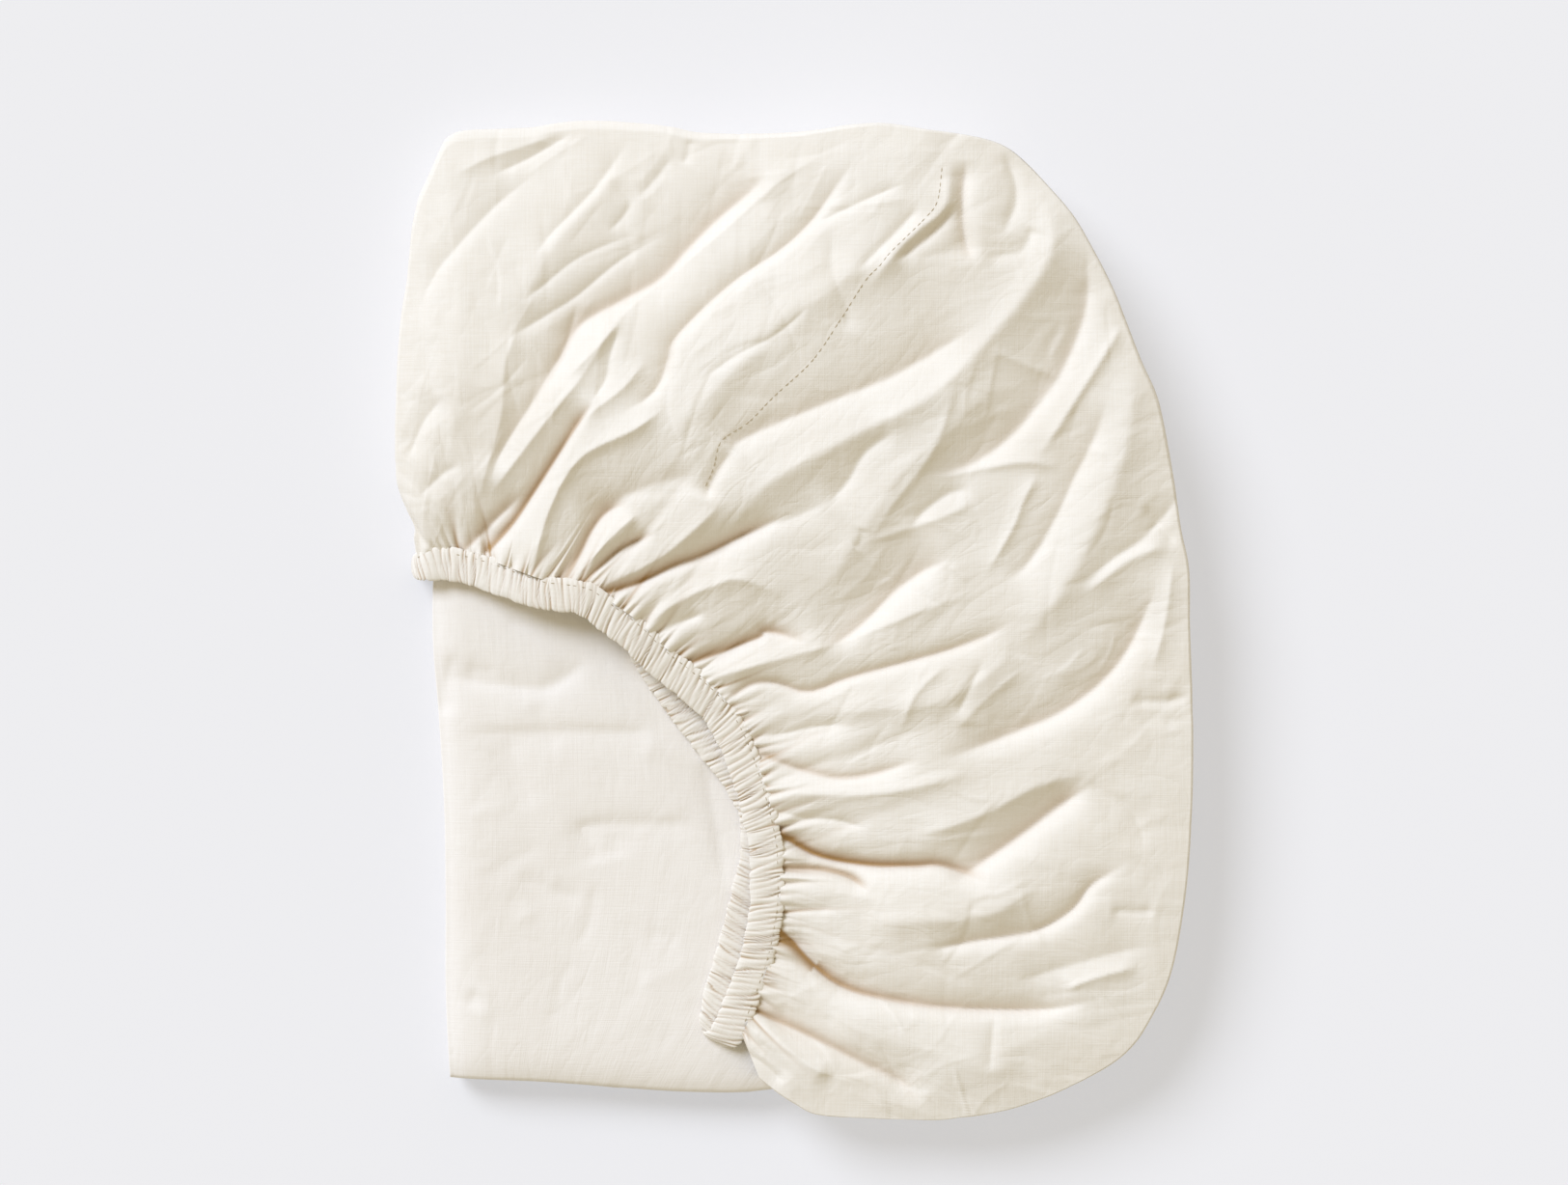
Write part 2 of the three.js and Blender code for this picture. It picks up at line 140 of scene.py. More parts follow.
# Widest line of the hood, seen from above, the same way round: x, y in mm
HOOD_RIM = [
    (-143.5, 23.4), (-144.6, 30.7), (-144.2, 35.5), (-147.9, 43.9), (-150.4, 50.9), (-151.2, 59.3),
    (-151.4, 70.3), (-151.2, 81.3), (-150.8, 90.4), (-150.1, 103.2), (-148.6, 117.9), (-146.8, 128.8),
    (-145.7, 139.8), (-144.6, 150.1), (-142.4, 159.9), (-138, 169.8), (-134.3, 178.2), (-131.4, 183),
    (-125.2, 185.6), (-110.5, 186.3), (-98.8, 186.7), (-90.4, 188.4), (-83.1, 189.2), (-73.9, 189.4),
    (-63, 188.8), (-48.3, 187.4), (-33.7, 184.5), (-8.1, 183.7), (8.4, 184.5), (21.2, 186.3), (34, 187),
    (50.5, 184.8), (65.1, 183), (78, 179.7), (87.1, 173.5), (98.1, 161.8), (106.1, 151.9), (112.7, 140.5),
    (120, 126.3), (125.5, 112.4), (131, 97.7), (137.3, 83.1), (141.3, 64.8), (144.2, 48.3), (146.4, 33.7),
    (149.3, 19), (149.7, -2.9), (150.6, -28.5), (151, -46.8), (150.6, -72.5), (148.6, -101.7),
    (143.8, -131), (136.5, -149.3), (125.5, -164.7), (105.4, -176.8), (83.4, -185.2), (65.1, -188.5),
    (53.4, -189.7), (32.2, -189.2), (10.2, -187.8), (1.1, -183.5), (-9.5, -176.5), (-20.5, -167),
]

# Runs of cloth between the two: count along the mouth's points and along the rim's, height of the crown in mm
HOOD_RUNS = np.array([
    (0, 0, 18.8), (0.6, 3, 22), (1.2, 6, 25), (2, 11, 28), (2.6, 15.5, 29.5), (3.2, 20, 30), (4, 25, 31),
    (5.2, 28, 32.5), (7.2, 32, 33), (8.7, 34.8, 33.5), (10, 37.5, 34), (12, 41, 34), (14.6, 44, 34),
    (16.7, 46.6, 34), (18.2, 48.6, 33.5), (19.5, 50, 33), (20.8, 51.2, 31), (22, 53, 29), (23, 54.4, 28),
    (24.7, 57, 27), (26, 59, 25.5), (27, 61.3, 23.5),
])
HOOD_SEAM_RUN = 8

# Broad spine of the hood under the corner seam, in the same form as the folds below
HOOD_SPINE = [(8.6, 70, 0, [(-85, 10), (-45, 55), (0, 100), (45, 150), (70, 185)])]

# Main folds of the hood, in mm, those at the mouth from there outwards: a ridge stands
# up and a trough has a negative height. Skew widens the flank on the left of the line and steepens the other.
# height, width, skew, points on the brightest or the darkest line
HOOD_FOLDS = [
    # top left corner
    (1.4, 4, 0.3, [(-130, 172), (-118, 178), (-103, 183), (-89, 188)]),
    (-1.6, 2.5, 0.2, [(-115, 171), (-104, 176), (-95, 181), (-85, 187)]),
    (-1.8, 4, 0.3, [(-147, 115), (-139, 133), (-131, 143), (-123, 152), (-113, 162), (-99, 173)]),
    (2.2, 9, 0.2, [(-118, 112), (-107, 129), (-96, 148), (-81, 165), (-70, 178)]),
    (-1.8, 3, 0.4, [(-101, 139), (-93, 149), (-85, 157), (-76, 167), (-66, 182)]),
    (-1.1, 2, 0, [(-70, 167), (-64, 159), (-67, 153), (-72, 148)]),
    (-1.1, 2.5, 0, [(-61, 161), (-54, 169), (-48, 177)]),
    (-1, 1.8, 0, [(-44, 173), (-42, 177), (-41, 182)]),
    (-1, 2, 0.1, [(-105, 121), (-96, 128), (-85, 137), (-73, 143), (-59, 148)]),
    (-1.5, 2.5, 0.2, [(-110, 108), (-100, 114), (-92, 119), (-83, 125), (-67, 138), (-48, 149)]),
    # upper diagonals
    (-6.4, 7.5, 0.4, [(-101, 88), (-94, 101), (-86, 116), (-67, 127), (-55, 134), (-45, 145),
                      (-34, 156), (-22, 166), (-15, 173)]),
    (1.3, 4, 0.3, [(-95, 78), (-81, 97), (-67, 118), (-48, 134), (-30, 149), (-8, 168), (15, 182)]),
    (-3.8, 4, 0.5, [(-67, 81), (-56, 88), (-51, 98), (-48, 108), (-37, 120), (-23, 132), (-8, 142),
                    (3, 152), (11, 163), (19, 175)]),
    (1.8, 5, 0.2, [(-124, 46), (-120, 59), (-114, 80), (-112, 100), (-106, 118)]),
    (1.4, 3, 0.2, [(-88, 93), (-76, 105), (-68, 114)]),
    (-1.3, 2.2, 0.2, [(-84, 120), (-88, 106), (-93, 95)]),
    (-1.6, 2.5, 0.2, [(-79, 83), (-73, 92), (-71, 102), (-68, 112)]),
    (2, 4, 0.2, [(-96, 63), (-81, 79), (-67, 90), (-59, 100)]),
    (4, 11, 0.2, [(-62, 67), (-40, 88), (-25, 104), (-9, 118), (10, 132), (28, 146), (46, 157)]),
    (-1.2, 2, 0, [(-36, 92), (-23, 101), (-8, 109), (6, 121)]),
    (-1.5, 2, 0.2, [(7, 151), (18, 156), (29, 161), (41, 166)]),
    (-2.2, 2.5, 0.2, [(21, 132), (30, 141), (38, 149), (45, 157)]),
    (3.2, 5, -0.3, [(24, 127), (34, 140), (44, 150), (53, 158), (55, 173)]),
    (-3.4, 3, 0.2, [(35, 136), (44, 143), (52, 150), (59, 158)]),
    (-4.4, 4.5, 0.4, [(65, 132), (61, 147), (60, 160), (61, 173)]),
    (-4, 7, 0.3, [(-31, 64), (-26, 71), (-12, 78), (10, 87), (32, 96), (51, 107), (65, 116)]),
    (-1.5, 4, 0, [(11, 146), (12, 132), (17, 117), (16, 108)]),
    (-1.9, 3, 0, [(75, 146), (80, 156), (81, 165), (78, 176)]),
    (-1.5, 3, 0, [(70, 138), (83, 141), (87, 149)]),
    # long bright ridge and the deep hollow below it
    (3.8, 7.5, -0.1, [(-32, 30), (-18, 53), (14, 72), (47, 89), (69, 111), (86, 132), (92, 147),
                      (89, 162)]),
    (-5.6, 3.2, 0.4, [(-77, 12), (-63, 16), (-48, 23), (-37, 27), (-19, 36), (-4, 42)]),
    (-2.1, 7, 0.5, [(-42, 26), (-24, 36), (-5, 43), (12, 51)]),
    (-2.8, 5, 0.3, [(8, 45), (17, 56), (24, 67), (38, 76)]),
    (2.8, 8, 0.1, [(3, 14), (13, 27), (24, 44), (33, 58), (50, 73), (63, 86), (69, 97)]),
    (-1, 1.8, 0, [(24, 35), (23, 31), (21, 28)]),
    # right side
    (-4.5, 8, 0.5, [(46, 58), (62, 64), (76, 74), (87, 87), (97, 102), (104, 121), (105, 141)]),
    (-2.4, 3.5, 0, [(40, 36), (47, 44), (56, 50), (67, 52)]),
    (1.6, 2.2, 0.3, [(49, 55), (70, 59), (85, 61), (101, 59)]),
    (1.8, 2.4, 0.2, [(89, 63), (97, 74), (104, 85), (116, 104), (121, 112)]),
    (1.3, 3, 0.3, [(25, 31), (35, 46), (46, 60), (53, 73), (58, 92)]),
    (1.1, 2.4, 0.2, [(24, 31), (40, 36), (57, 42), (66, 47)]),
    (0.9, 2.4, 0, [(74, 102), (87, 97), (103, 91)]),
    (-1.2, 2, 0, [(131, 43), (138, 35), (144, 27)]),
    (1.3, 2.2, 0, [(38, -40), (44, -26), (56, -14)]),
    (-1.4, 2.2, 0, [(69, -14), (63, -26), (59, -35)]),
    (1.6, 2.2, 0, [(69, 17), (80, 36), (84, 46), (89, 56)]),
    (-3.1, 5.5, 0.2, [(76, 18), (85, 26), (94, 41), (101, 56), (108, 70), (113, 83)]),
    (4.3, 10, 0.2, [(76, -5), (87, 8), (96, 20), (105, 37), (113, 56), (119, 78), (122, 109)]),
    (2.9, 8, 0.3, [(8, -30), (29, -28), (47, -26), (65, -17), (80, -5)]),
    (1.4, 5, 0.2, [(56, -39), (69, -26), (83, -14)]),
    (-1.6, 3, 0.3, [(106, 15), (116, 24), (126, 31), (135, 39), (143, 50)]),
    (1.8, 3, 0, [(107, 12), (124, 25), (140, 31)]),
    (-5.2, 7, 0.5, [(54, -47), (78, -38), (96, -30), (111, -19), (122, -5), (131, 16)]),
    (1.5, 3, 0, [(132, -18), (137, 1), (140, 23)]),
    (-1.5, 1.8, 0, [(127, -29), (138, -29), (149, -27)]),
    # middle
    (-3.5, 2.2, 0.2, [(-24, -26), (-17, -22), (-8, -22), (4, -25), (18, -20), (36, -15), (54, -10),
                      (71, -4), (80, 1)]),
    (-5.2, 3.5, 0.3, [(-46, -15), (-32, -10), (-17, -4), (-10, -2), (6, -7)]),
    (-5.4, 8, 0.6, [(6, -6), (16, 0), (24, 7), (33, 16), (44, 24), (57, 30)]),
    (-3, 2.2, 0.2, [(-56, -4), (-45, 1), (-34, 5)]),
    (2.9, 5, 0.2, [(-67, -7), (-52, 7), (-37, 15), (-22, 18), (-1, 9)]),
    (2.3, 5, 0.2, [(-32, -18), (-8, -11), (14, -5), (30, 1), (47, 8), (67, 15)]),
    # lower right
    (-2.5, 3, 0.2, [(-20, -42), (-8, -41), (7, -38), (22, -36)]),
    (-3.5, 3.2, 0.2, [(-13, -49), (0, -54), (15, -57), (29, -55), (47, -49)]),
    (3, 6, 0.2, [(-8, -61), (14, -62), (36, -60), (69, -52)]),
    (-2, 2.2, 0, [(-8, -71), (3, -73), (15, -74), (29, -78)]),
    (-6.5, 3.4, 0.3, [(-6, -80), (8, -87), (27, -90), (43, -90), (53, -90), (63, -93), (74, -97)]),
    (-7, 7, 0.5, [(56, -94), (72, -83), (83, -75), (96, -65), (108, -57)]),
    (3, 6, 0.2, [(43, -77), (65, -70), (87, -59), (108, -53)]),
    (-4.8, 2.2, 0.2, [(-4, -92), (10, -93), (20, -96), (29, -102)]),
    (3.5, 8, 0.2, [(25, -109), (47, -108), (69, -105), (88, -94)]),
    (-4.2, 3.5, 0.4, [(50, -122), (62, -119), (76, -117), (90, -114), (102, -107), (110, -97), (124, -88)]),
    (-1.2, 2, 0, [(119, -108), (128, -108), (137, -108)]),
    (-6.5, 4.4, 0.5, [(-6, -117), (7, -130), (19, -137), (36, -141), (54, -143.5), (76, -144.5),
                      (94, -144), (112, -140)]),
    (2, 3, 0, [(100, -137), (113, -132), (130, -128)]),
    (-2, 6, 0, [(82, -132), (98, -127), (116, -122), (135, -118)]),
    (2.4, 9, 0.1, [(10, -147), (36, -154), (65, -162), (87, -160)]),
    (-4.5, 5.5, 0.5, [(-13, -147), (3, -154), (21, -163), (37, -172), (49, -183)]),
    (2, 5, 0, [(-12, -155), (3, -165), (15, -173)]),
    (-2, 3, 0, [(-18, -163), (-11, -168), (-3, -176)]),
    (-1.2, 3, 0, [(73, -149), (72, -160), (71, -171)]),
    (-1.2, 4, 0, [(106, -58), (124, -70), (130, -87)]),
    # lower left gathers
    (-1.8, 3.5, 0.2, [(-145, 49), (-135, 58), (-127, 62)]),
    (-1.8, 3.5, 0.2, [(-150, 61), (-143, 77), (-135, 87)]),
    (-3.4, 5, 0.3, [(-119, 54), (-115, 65), (-109, 75), (-103, 84), (-97, 94), (-91, 105)]),
    (2.5, 4, 0.2, [(-118, 50), (-107, 64), (-96, 78), (-81, 96)]),
    (-5.5, 3, 0.5, [(-118, 29), (-109, 39), (-100, 52), (-92, 64), (-84, 76), (-78, 84)]),
    (3.5, 5, 0.3, [(-103, 18), (-96, 44), (-84, 64), (-63, 75), (-51, 84)]),
    (-4.5, 3.5, 0.3, [(-90, 16), (-84, 27), (-79, 37), (-73, 44), (-63, 48)]),
    (2, 2.5, 0, [(-82, 21), (-70, 34), (-61, 42)]),
    (-4.5, 2, 0.2, [(-82, 15), (-74, 23), (-65, 30), (-53, 35)]),
    (2.5, 4, 0.2, [(-74, 16), (-52, 27), (-28, 48)]),
    (-3.4, 9, 0, [(-85, 45), (-63, 55), (-37, 63)]),
    (-3.4, 4, 0.4, [(-37, 46), (-33, 56), (-26, 67)]),
    (-4, 4.5, 0.3, [(-132, 26), (-125, 33), (-116, 42), (-105, 52)]),
]


def spline(points, t):
    """Smooth curve through evenly counted points: a Catmull-Rom cubic at t from 0 to 1."""
    points = np.asarray(points, dtype=float)
    padded = np.vstack([2 * points[0] - points[1], points, 2 * points[-1] - points[-2]])
    place = np.clip(t, 0.0, 1.0) * (len(points) - 1)
    first = np.minimum(place.astype(int), len(points) - 2)
    x = (place - first)[..., None]
    a, b, c, d = (padded[first + k] for k in range(4))
    return 0.5 * (2 * b + (c - a) * x + (2 * a - 5 * b + 4 * c - d) * x**2 + (3 * b - a - 3 * c + d) * x**3)


def ease(x):
    """Step from 0 to 1 with level ends: 3x^2 - 2x^3 for x held between 0 and 1."""
    x = np.clip(x, 0.0, 1.0)
    return x * x * (3 - 2 * x)


def unit(vectors):
    """Vectors scaled to length 1."""
    return vectors / np.maximum(np.linalg.norm(vectors, axis=-1, keepdims=True), 1e-9)


def left_of(along):
    """Level direction to the left of another one, seen from above."""
    return np.stack([-along[..., 1], along[..., 0]], axis=-1)


def crest_line(points, width):
    """Line of a fold's crest or bottom, which lies past its brightest or darkest line, away from the lamp.

    Each point of the line as it looks is moved along the line's normal by a share of the fold's width, times
    the cosine between the normal and the way of the light.
    """
    line = spline(points, np.linspace(0, 1, FOLD_SAMPLES))
    along = unit(np.gradient(line, axis=0))
    normal = left_of(along)
    past = min(FOLD_PAST + FOLD_PAST_SHARE * width, FOLD_PAST_MOST)
    return line + past * (normal @ LAMP_WAY)[:, None] * normal


def soft_peak(squared, soft, wide):
    """Height across a fold: exp(-(sqrt(d^2 + e^2) - e) / w), with d squared, a soft part e and a width w."""
    return np.exp(-(np.sqrt(squared + soft**2) - soft) / wide)


def fold_relief(x, y, folds, mouth=None):
    """Height that folds give a cloth at points x, y, and the shade painted into its colour in narrow crevices.

    Each fold is a soft peak across its line, with the width of that side and a soft part that is a larger
    share of a wide fold. So a narrow fold is crisp, a wide one is round and both flanks run out straight. The
    height eases to nothing over the last quarter of each end, but not at an end that starts at the mouth. A
    deep trough that starts there gets dark shade painted close to its bottom line, which opens the further it
    runs, faster if it is wide. Its flank on the lamp's side gets warm shade painted in.
    """
    relief = np.zeros_like(x)
    crevice_shade = np.zeros_like(x)
    for height, width, skew, points in folds:
        line = crest_line(points, width)
        reach = FOLD_REACH * width
        near = (x > line[:, 0].min() - reach) & (x < line[:, 0].max() + reach)
        near &= (y > line[:, 1].min() - reach) & (y < line[:, 1].max() + reach)
        start, step = line[:-1], np.diff(line, axis=0)
        dx = x[near][:, None] - start[:, 0]
        dy = y[near][:, None] - start[:, 1]
        share = np.clip((dx * step[:, 0] + dy * step[:, 1]) / (step**2).sum(1), 0, 1)
        off_x = dx - share * step[:, 0]
        off_y = dy - share * step[:, 1]
        squared = off_x**2 + off_y**2
        nearest = squared.argmin(1)
        pick = np.arange(len(nearest)), nearest
        left = np.sign(step[nearest, 0] * off_y[pick] - step[nearest, 1] * off_x[pick])
        along = (nearest + share[pick]) / (FOLD_SAMPLES - 1)
        wide = width * (1 + skew * left)
        rounding = RIDGE_ROUNDING if height > 0 else TROUGH_ROUNDING
        soft = np.maximum(np.clip((width - FOLD_CRISP_WIDTH) / rounding, 0.05, 0.3) * wide, 0.5)
        ends = ease((1 - along) / FOLD_END_SHARE + FOLD_TIP)
        held = mouth is not None and np.hypot(*(mouth - line[0]).T).min() < FOLD_HELD_WITHIN
        if not held:
            ends = ends * ease(along / FOLD_END_SHARE + FOLD_TIP)
        relief[near] += height * ends * soft_peak(squared[pick], soft, wide)
        # A deep trough gets shade painted into the colour: dark along its bottom line, warm on its flank on
        # the lamp's side.
        if height < -CREVICE_SHADE_FROM:
            away = np.sqrt(squared[pick])
            side = left * np.sign(step[nearest, 1] * LAMP_WAY[0] - step[nearest, 0] * LAMP_WAY[1])
            lampward = 1 / (1 + np.exp(-side * away / CREVICE_SHADE_EDGE))
            core = 0.45 + (0.35 + 0.5 * min(width, 3.5)) * lampward
            walked = along * np.linalg.norm(step, axis=1).sum()
            closed = 0.25 * min(1.0, 3.0 / width)
            if held:
                closed = np.exp(-((walked * width / CREVICE_SHADE_RUN) ** 2))
            warm = CREVICE_PAINTED_WARM * lampward * np.exp(-away / (0.5 * width))
            deep = (-height - 2.0) / 4.5
            crevice_shade[near] += deep * ends * (CREVICE_PAINTED_DARK * closed * np.exp(-((away / core) ** 2)) + warm)
    return relief, crevice_shade


def walk(line):
    """Distance walked along a line to each of its points."""
    return np.concatenate([[0.0], np.cumsum(np.linalg.norm(np.diff(line, axis=0), axis=-1))])


def nearest_tuck(places, at):
    """Nearer of the two tucks beside a place, by number, the gap between the two and the distance to it."""
    after = np.clip(np.searchsorted(places, at), 1, len(places) - 1)
    gap = places[after] - places[after - 1]
    share = np.clip((at - places[after - 1]) / gap, 0, 1)
    return np.where(share < 0.5, after - 1, after), gap, np.minimum(share, 1 - share) * gap


def gathers(run, out, length, random):
    """Puffs the elastic draws into the mouth, at a distance run along and out from it, and shade painted in
    tucks.

    Sharp tucks start at the sewing at uneven steps. Between two of them the cloth puffs up as 1 less a soft
    peak at each of them, and both fade outwards as exp(-(out / reach)^1.4). Shade is painted into the colour
    along the tucks. Small tufts sit at the sewing, then come the puffs, and longer pleats that run into the
    folds.
    """
    relief = np.zeros_like(out)
    painted_tuck_shade = np.zeros_like(out)
    for spacing, tall, reach, deep in GATHERS:
        count = int(1.25 * length / spacing) + 4
        places = np.cumsum(random.uniform(0.4, 1.6, count)) * spacing - 2 * spacing
        drift = random.uniform(-0.25, 0.25, count)
        wave = random.uniform(-1.2, 1.2, count)
        fade = reach * random.uniform(0.4, 1.9, count)
        height = tall * random.uniform(0.3, 1.2, count)
        dark = deep * random.uniform(0.1, 1.0, count) ** 1.5
        shifted = run - np.interp(run, places, drift) * out - np.interp(run, places, wave) * np.sin(out / 11)
        nearer, gap, off = nearest_tuck(places, shifted)
        puff = 1 - soft_peak(off**2, 0.35 + 0.045 * out, 0.2 * gap)
        strength = np.exp(-(out / np.interp(shifted, places, fade)) ** 1.4)
        relief += np.interp(shifted, places, height) * (puff - 0.5) * strength
        # Shade painted into the colour along the tucks, fading outwards
        painted_tuck_shade += dark[nearer] * strength**1.5 * np.exp(-((off / (0.5 + 0.02 * out)) ** 2))
    return relief, painted_tuck_shade


def wall_dents(rim, turn, random):
    """Depth of the buckles in the hood's side, where the cloth turns under the pack.

    Dents stand at uneven steps along the rim and lean a little. Each is exp(-d / w), with d the distance to
    its line, and as deep as the sine of twice the turn, so it is deepest halfway down.
    """
    walked = walk(rim)
    count = int(1.3 * walked[-1] / HOOD_DENT_STEP) + 4
    places = np.cumsum(random.uniform(0.3, 1.7, count)) * HOOD_DENT_STEP - 2 * HOOD_DENT_STEP
    deep = HOOD_DENT_DEEP * random.uniform(0.1, 1.0, count)
    lean = HOOD_DENT_LEAN * random.uniform(-1, 1, count)
    shifted = walked[:, None] + np.interp(walked, places, lean)[:, None] * np.sin(turn)
    _, gap, off = nearest_tuck(places, shifted)
    return np.interp(shifted, places, deep) * np.exp(-off / (0.25 * gap)) * np.sin(2 * turn)


def small_creases(x, y, heading, random):
    """Short random creases that follow the run of the cloth: rows of the same form as the main folds."""
    rows = []
    columns = random.integers(8, x.shape[0] - 8, CREASE_COUNT)
    for column, row in zip(columns, random.integers(4, x.shape[1], CREASE_COUNT)):
        angle = heading[column, row] + random.normal(0, 0.6)
        half = random.uniform(4, 12) * random.uniform(0.6, 2.4)
        bend = random.uniform(-0.2, 0.2) * half
        way = np.array([math.cos(angle), math.sin(angle)])
        side = np.array([-way[1], way[0]])
        centre = np.array([x[column, row], y[column, row]])
        points = [centre - half * way, centre + bend * side, centre + half * way]
        height = random.choice((-1, 1)) * random.uniform(*CREASE_HEIGHT) * min(1.0, half / 9)
        height = height * (0.5 if centre[0] < CREASE_CALM_X else 1.0)
        rows.append((height, random.uniform(*CREASE_WIDTH), random.uniform(-0.7, 0.7), points))
    return rows


def shell_faces(columns, rows, step):
    """Faces of a closed sheet: a fine front grid, a back grid some steps coarser and a rim between them."""
    front = np.arange(columns * rows).reshape(columns, rows)
    coarse = front[::step, ::step].shape
    back = front.size + np.arange(coarse[0] * coarse[1]).reshape(coarse)

    def quads(grid):
        corners = grid[:-1, :-1], grid[1:, :-1], grid[1:, 1:], grid[:-1, 1:]
        return np.stack(corners, axis=-1).reshape(-1, 4)

    def rim(fine, back_edge):
        edges = [fine[k:len(fine) - step + k:step] for k in range(step)] + [fine[step::step]]
        return np.stack(edges + [back_edge[1:], back_edge[:-1]], axis=-1)

    faces = quads(front).tolist() + quads(back)[:, ::-1].tolist()
    faces += rim(front[:, -1], back[:, -1]).tolist() + rim(front[:, 0], back[:, 0])[:, ::-1].tolist()
    faces += rim(front[0], back[0]).tolist() + rim(front[-1], back[-1])[:, ::-1].tolist()
    return faces


def add_object(name, data):
    """New object at the origin, in the scene."""
    made = bpy.data.objects.new(name, data)
    bpy.context.scene.collection.objects.link(made)
    return made


def add_mesh(name, points_mm, faces, flat_mm, material, run_mm=None, painted_shade=None, normals=None):
    """New smooth object of points in mm, with the flat place of each on the cloth as UVs in metres.

    run_mm is the place across and along the run of the folds, as more UVs, the next argument the shade
    painted into the colour at each point, and normals which way each point faces, where a neighbour carries
    the same surface on.
    """
    mesh = bpy.data.meshes.new(name)
    mesh.from_pydata((points_mm * MM).tolist(), [], faces)
    mesh.polygons.foreach_set("use_smooth", np.ones(len(mesh.polygons), dtype=bool))
    corner = np.empty(len(mesh.loops), dtype=np.int32)
    mesh.loops.foreach_get("vertex_index", corner)
    for layer, places in (("flat_cloth", flat_mm), ("fold_run", flat_mm if run_mm is None else run_mm)):
        uv = mesh.uv_layers.new(name=layer)
        uv.data.foreach_set("uv", (places[corner] * MM).astype(np.float32).ravel())
    # Shade painted into the colour at each point, none where it isn't given
    depth = mesh.attributes.new("painted_crease_shade", "FLOAT", "POINT")
    depth.data.foreach_set("value", np.zeros(len(points_mm)) if painted_shade is None else painted_shade)
    if normals is not None:
        mesh.normals_split_custom_set_from_vertices(normals.tolist())
    mesh.materials.append(material)
    return add_object(name, mesh)


def linear(hex_colour):
    """Linear RGBA of an sRGB hex colour."""
    channels = [int(hex_colour[i:i + 2], 16) / 255 for i in (1, 3, 5)]
    return tuple(c / 12.92 if c <= 0.04045 else ((c + 0.055) / 1.055) ** 2.4 for c in channels) + (1.0,)


def fill(tree, node, inputs):
    """Each named input of a shader node set to a value or linked to a socket."""
    for name, value in inputs.items():
        if isinstance(value, bpy.types.NodeSocket):
            tree.links.new(value, node.inputs[name])
        else:
            node.inputs[name].default_value = value


def add_node(tree, kind, inputs=None, **settings):
    """New shader node with its settings and its inputs."""
    made = tree.nodes.new(kind)
    for name, value in settings.items():
        setattr(made, name, value)
    fill(tree, made, inputs or {})
    return made


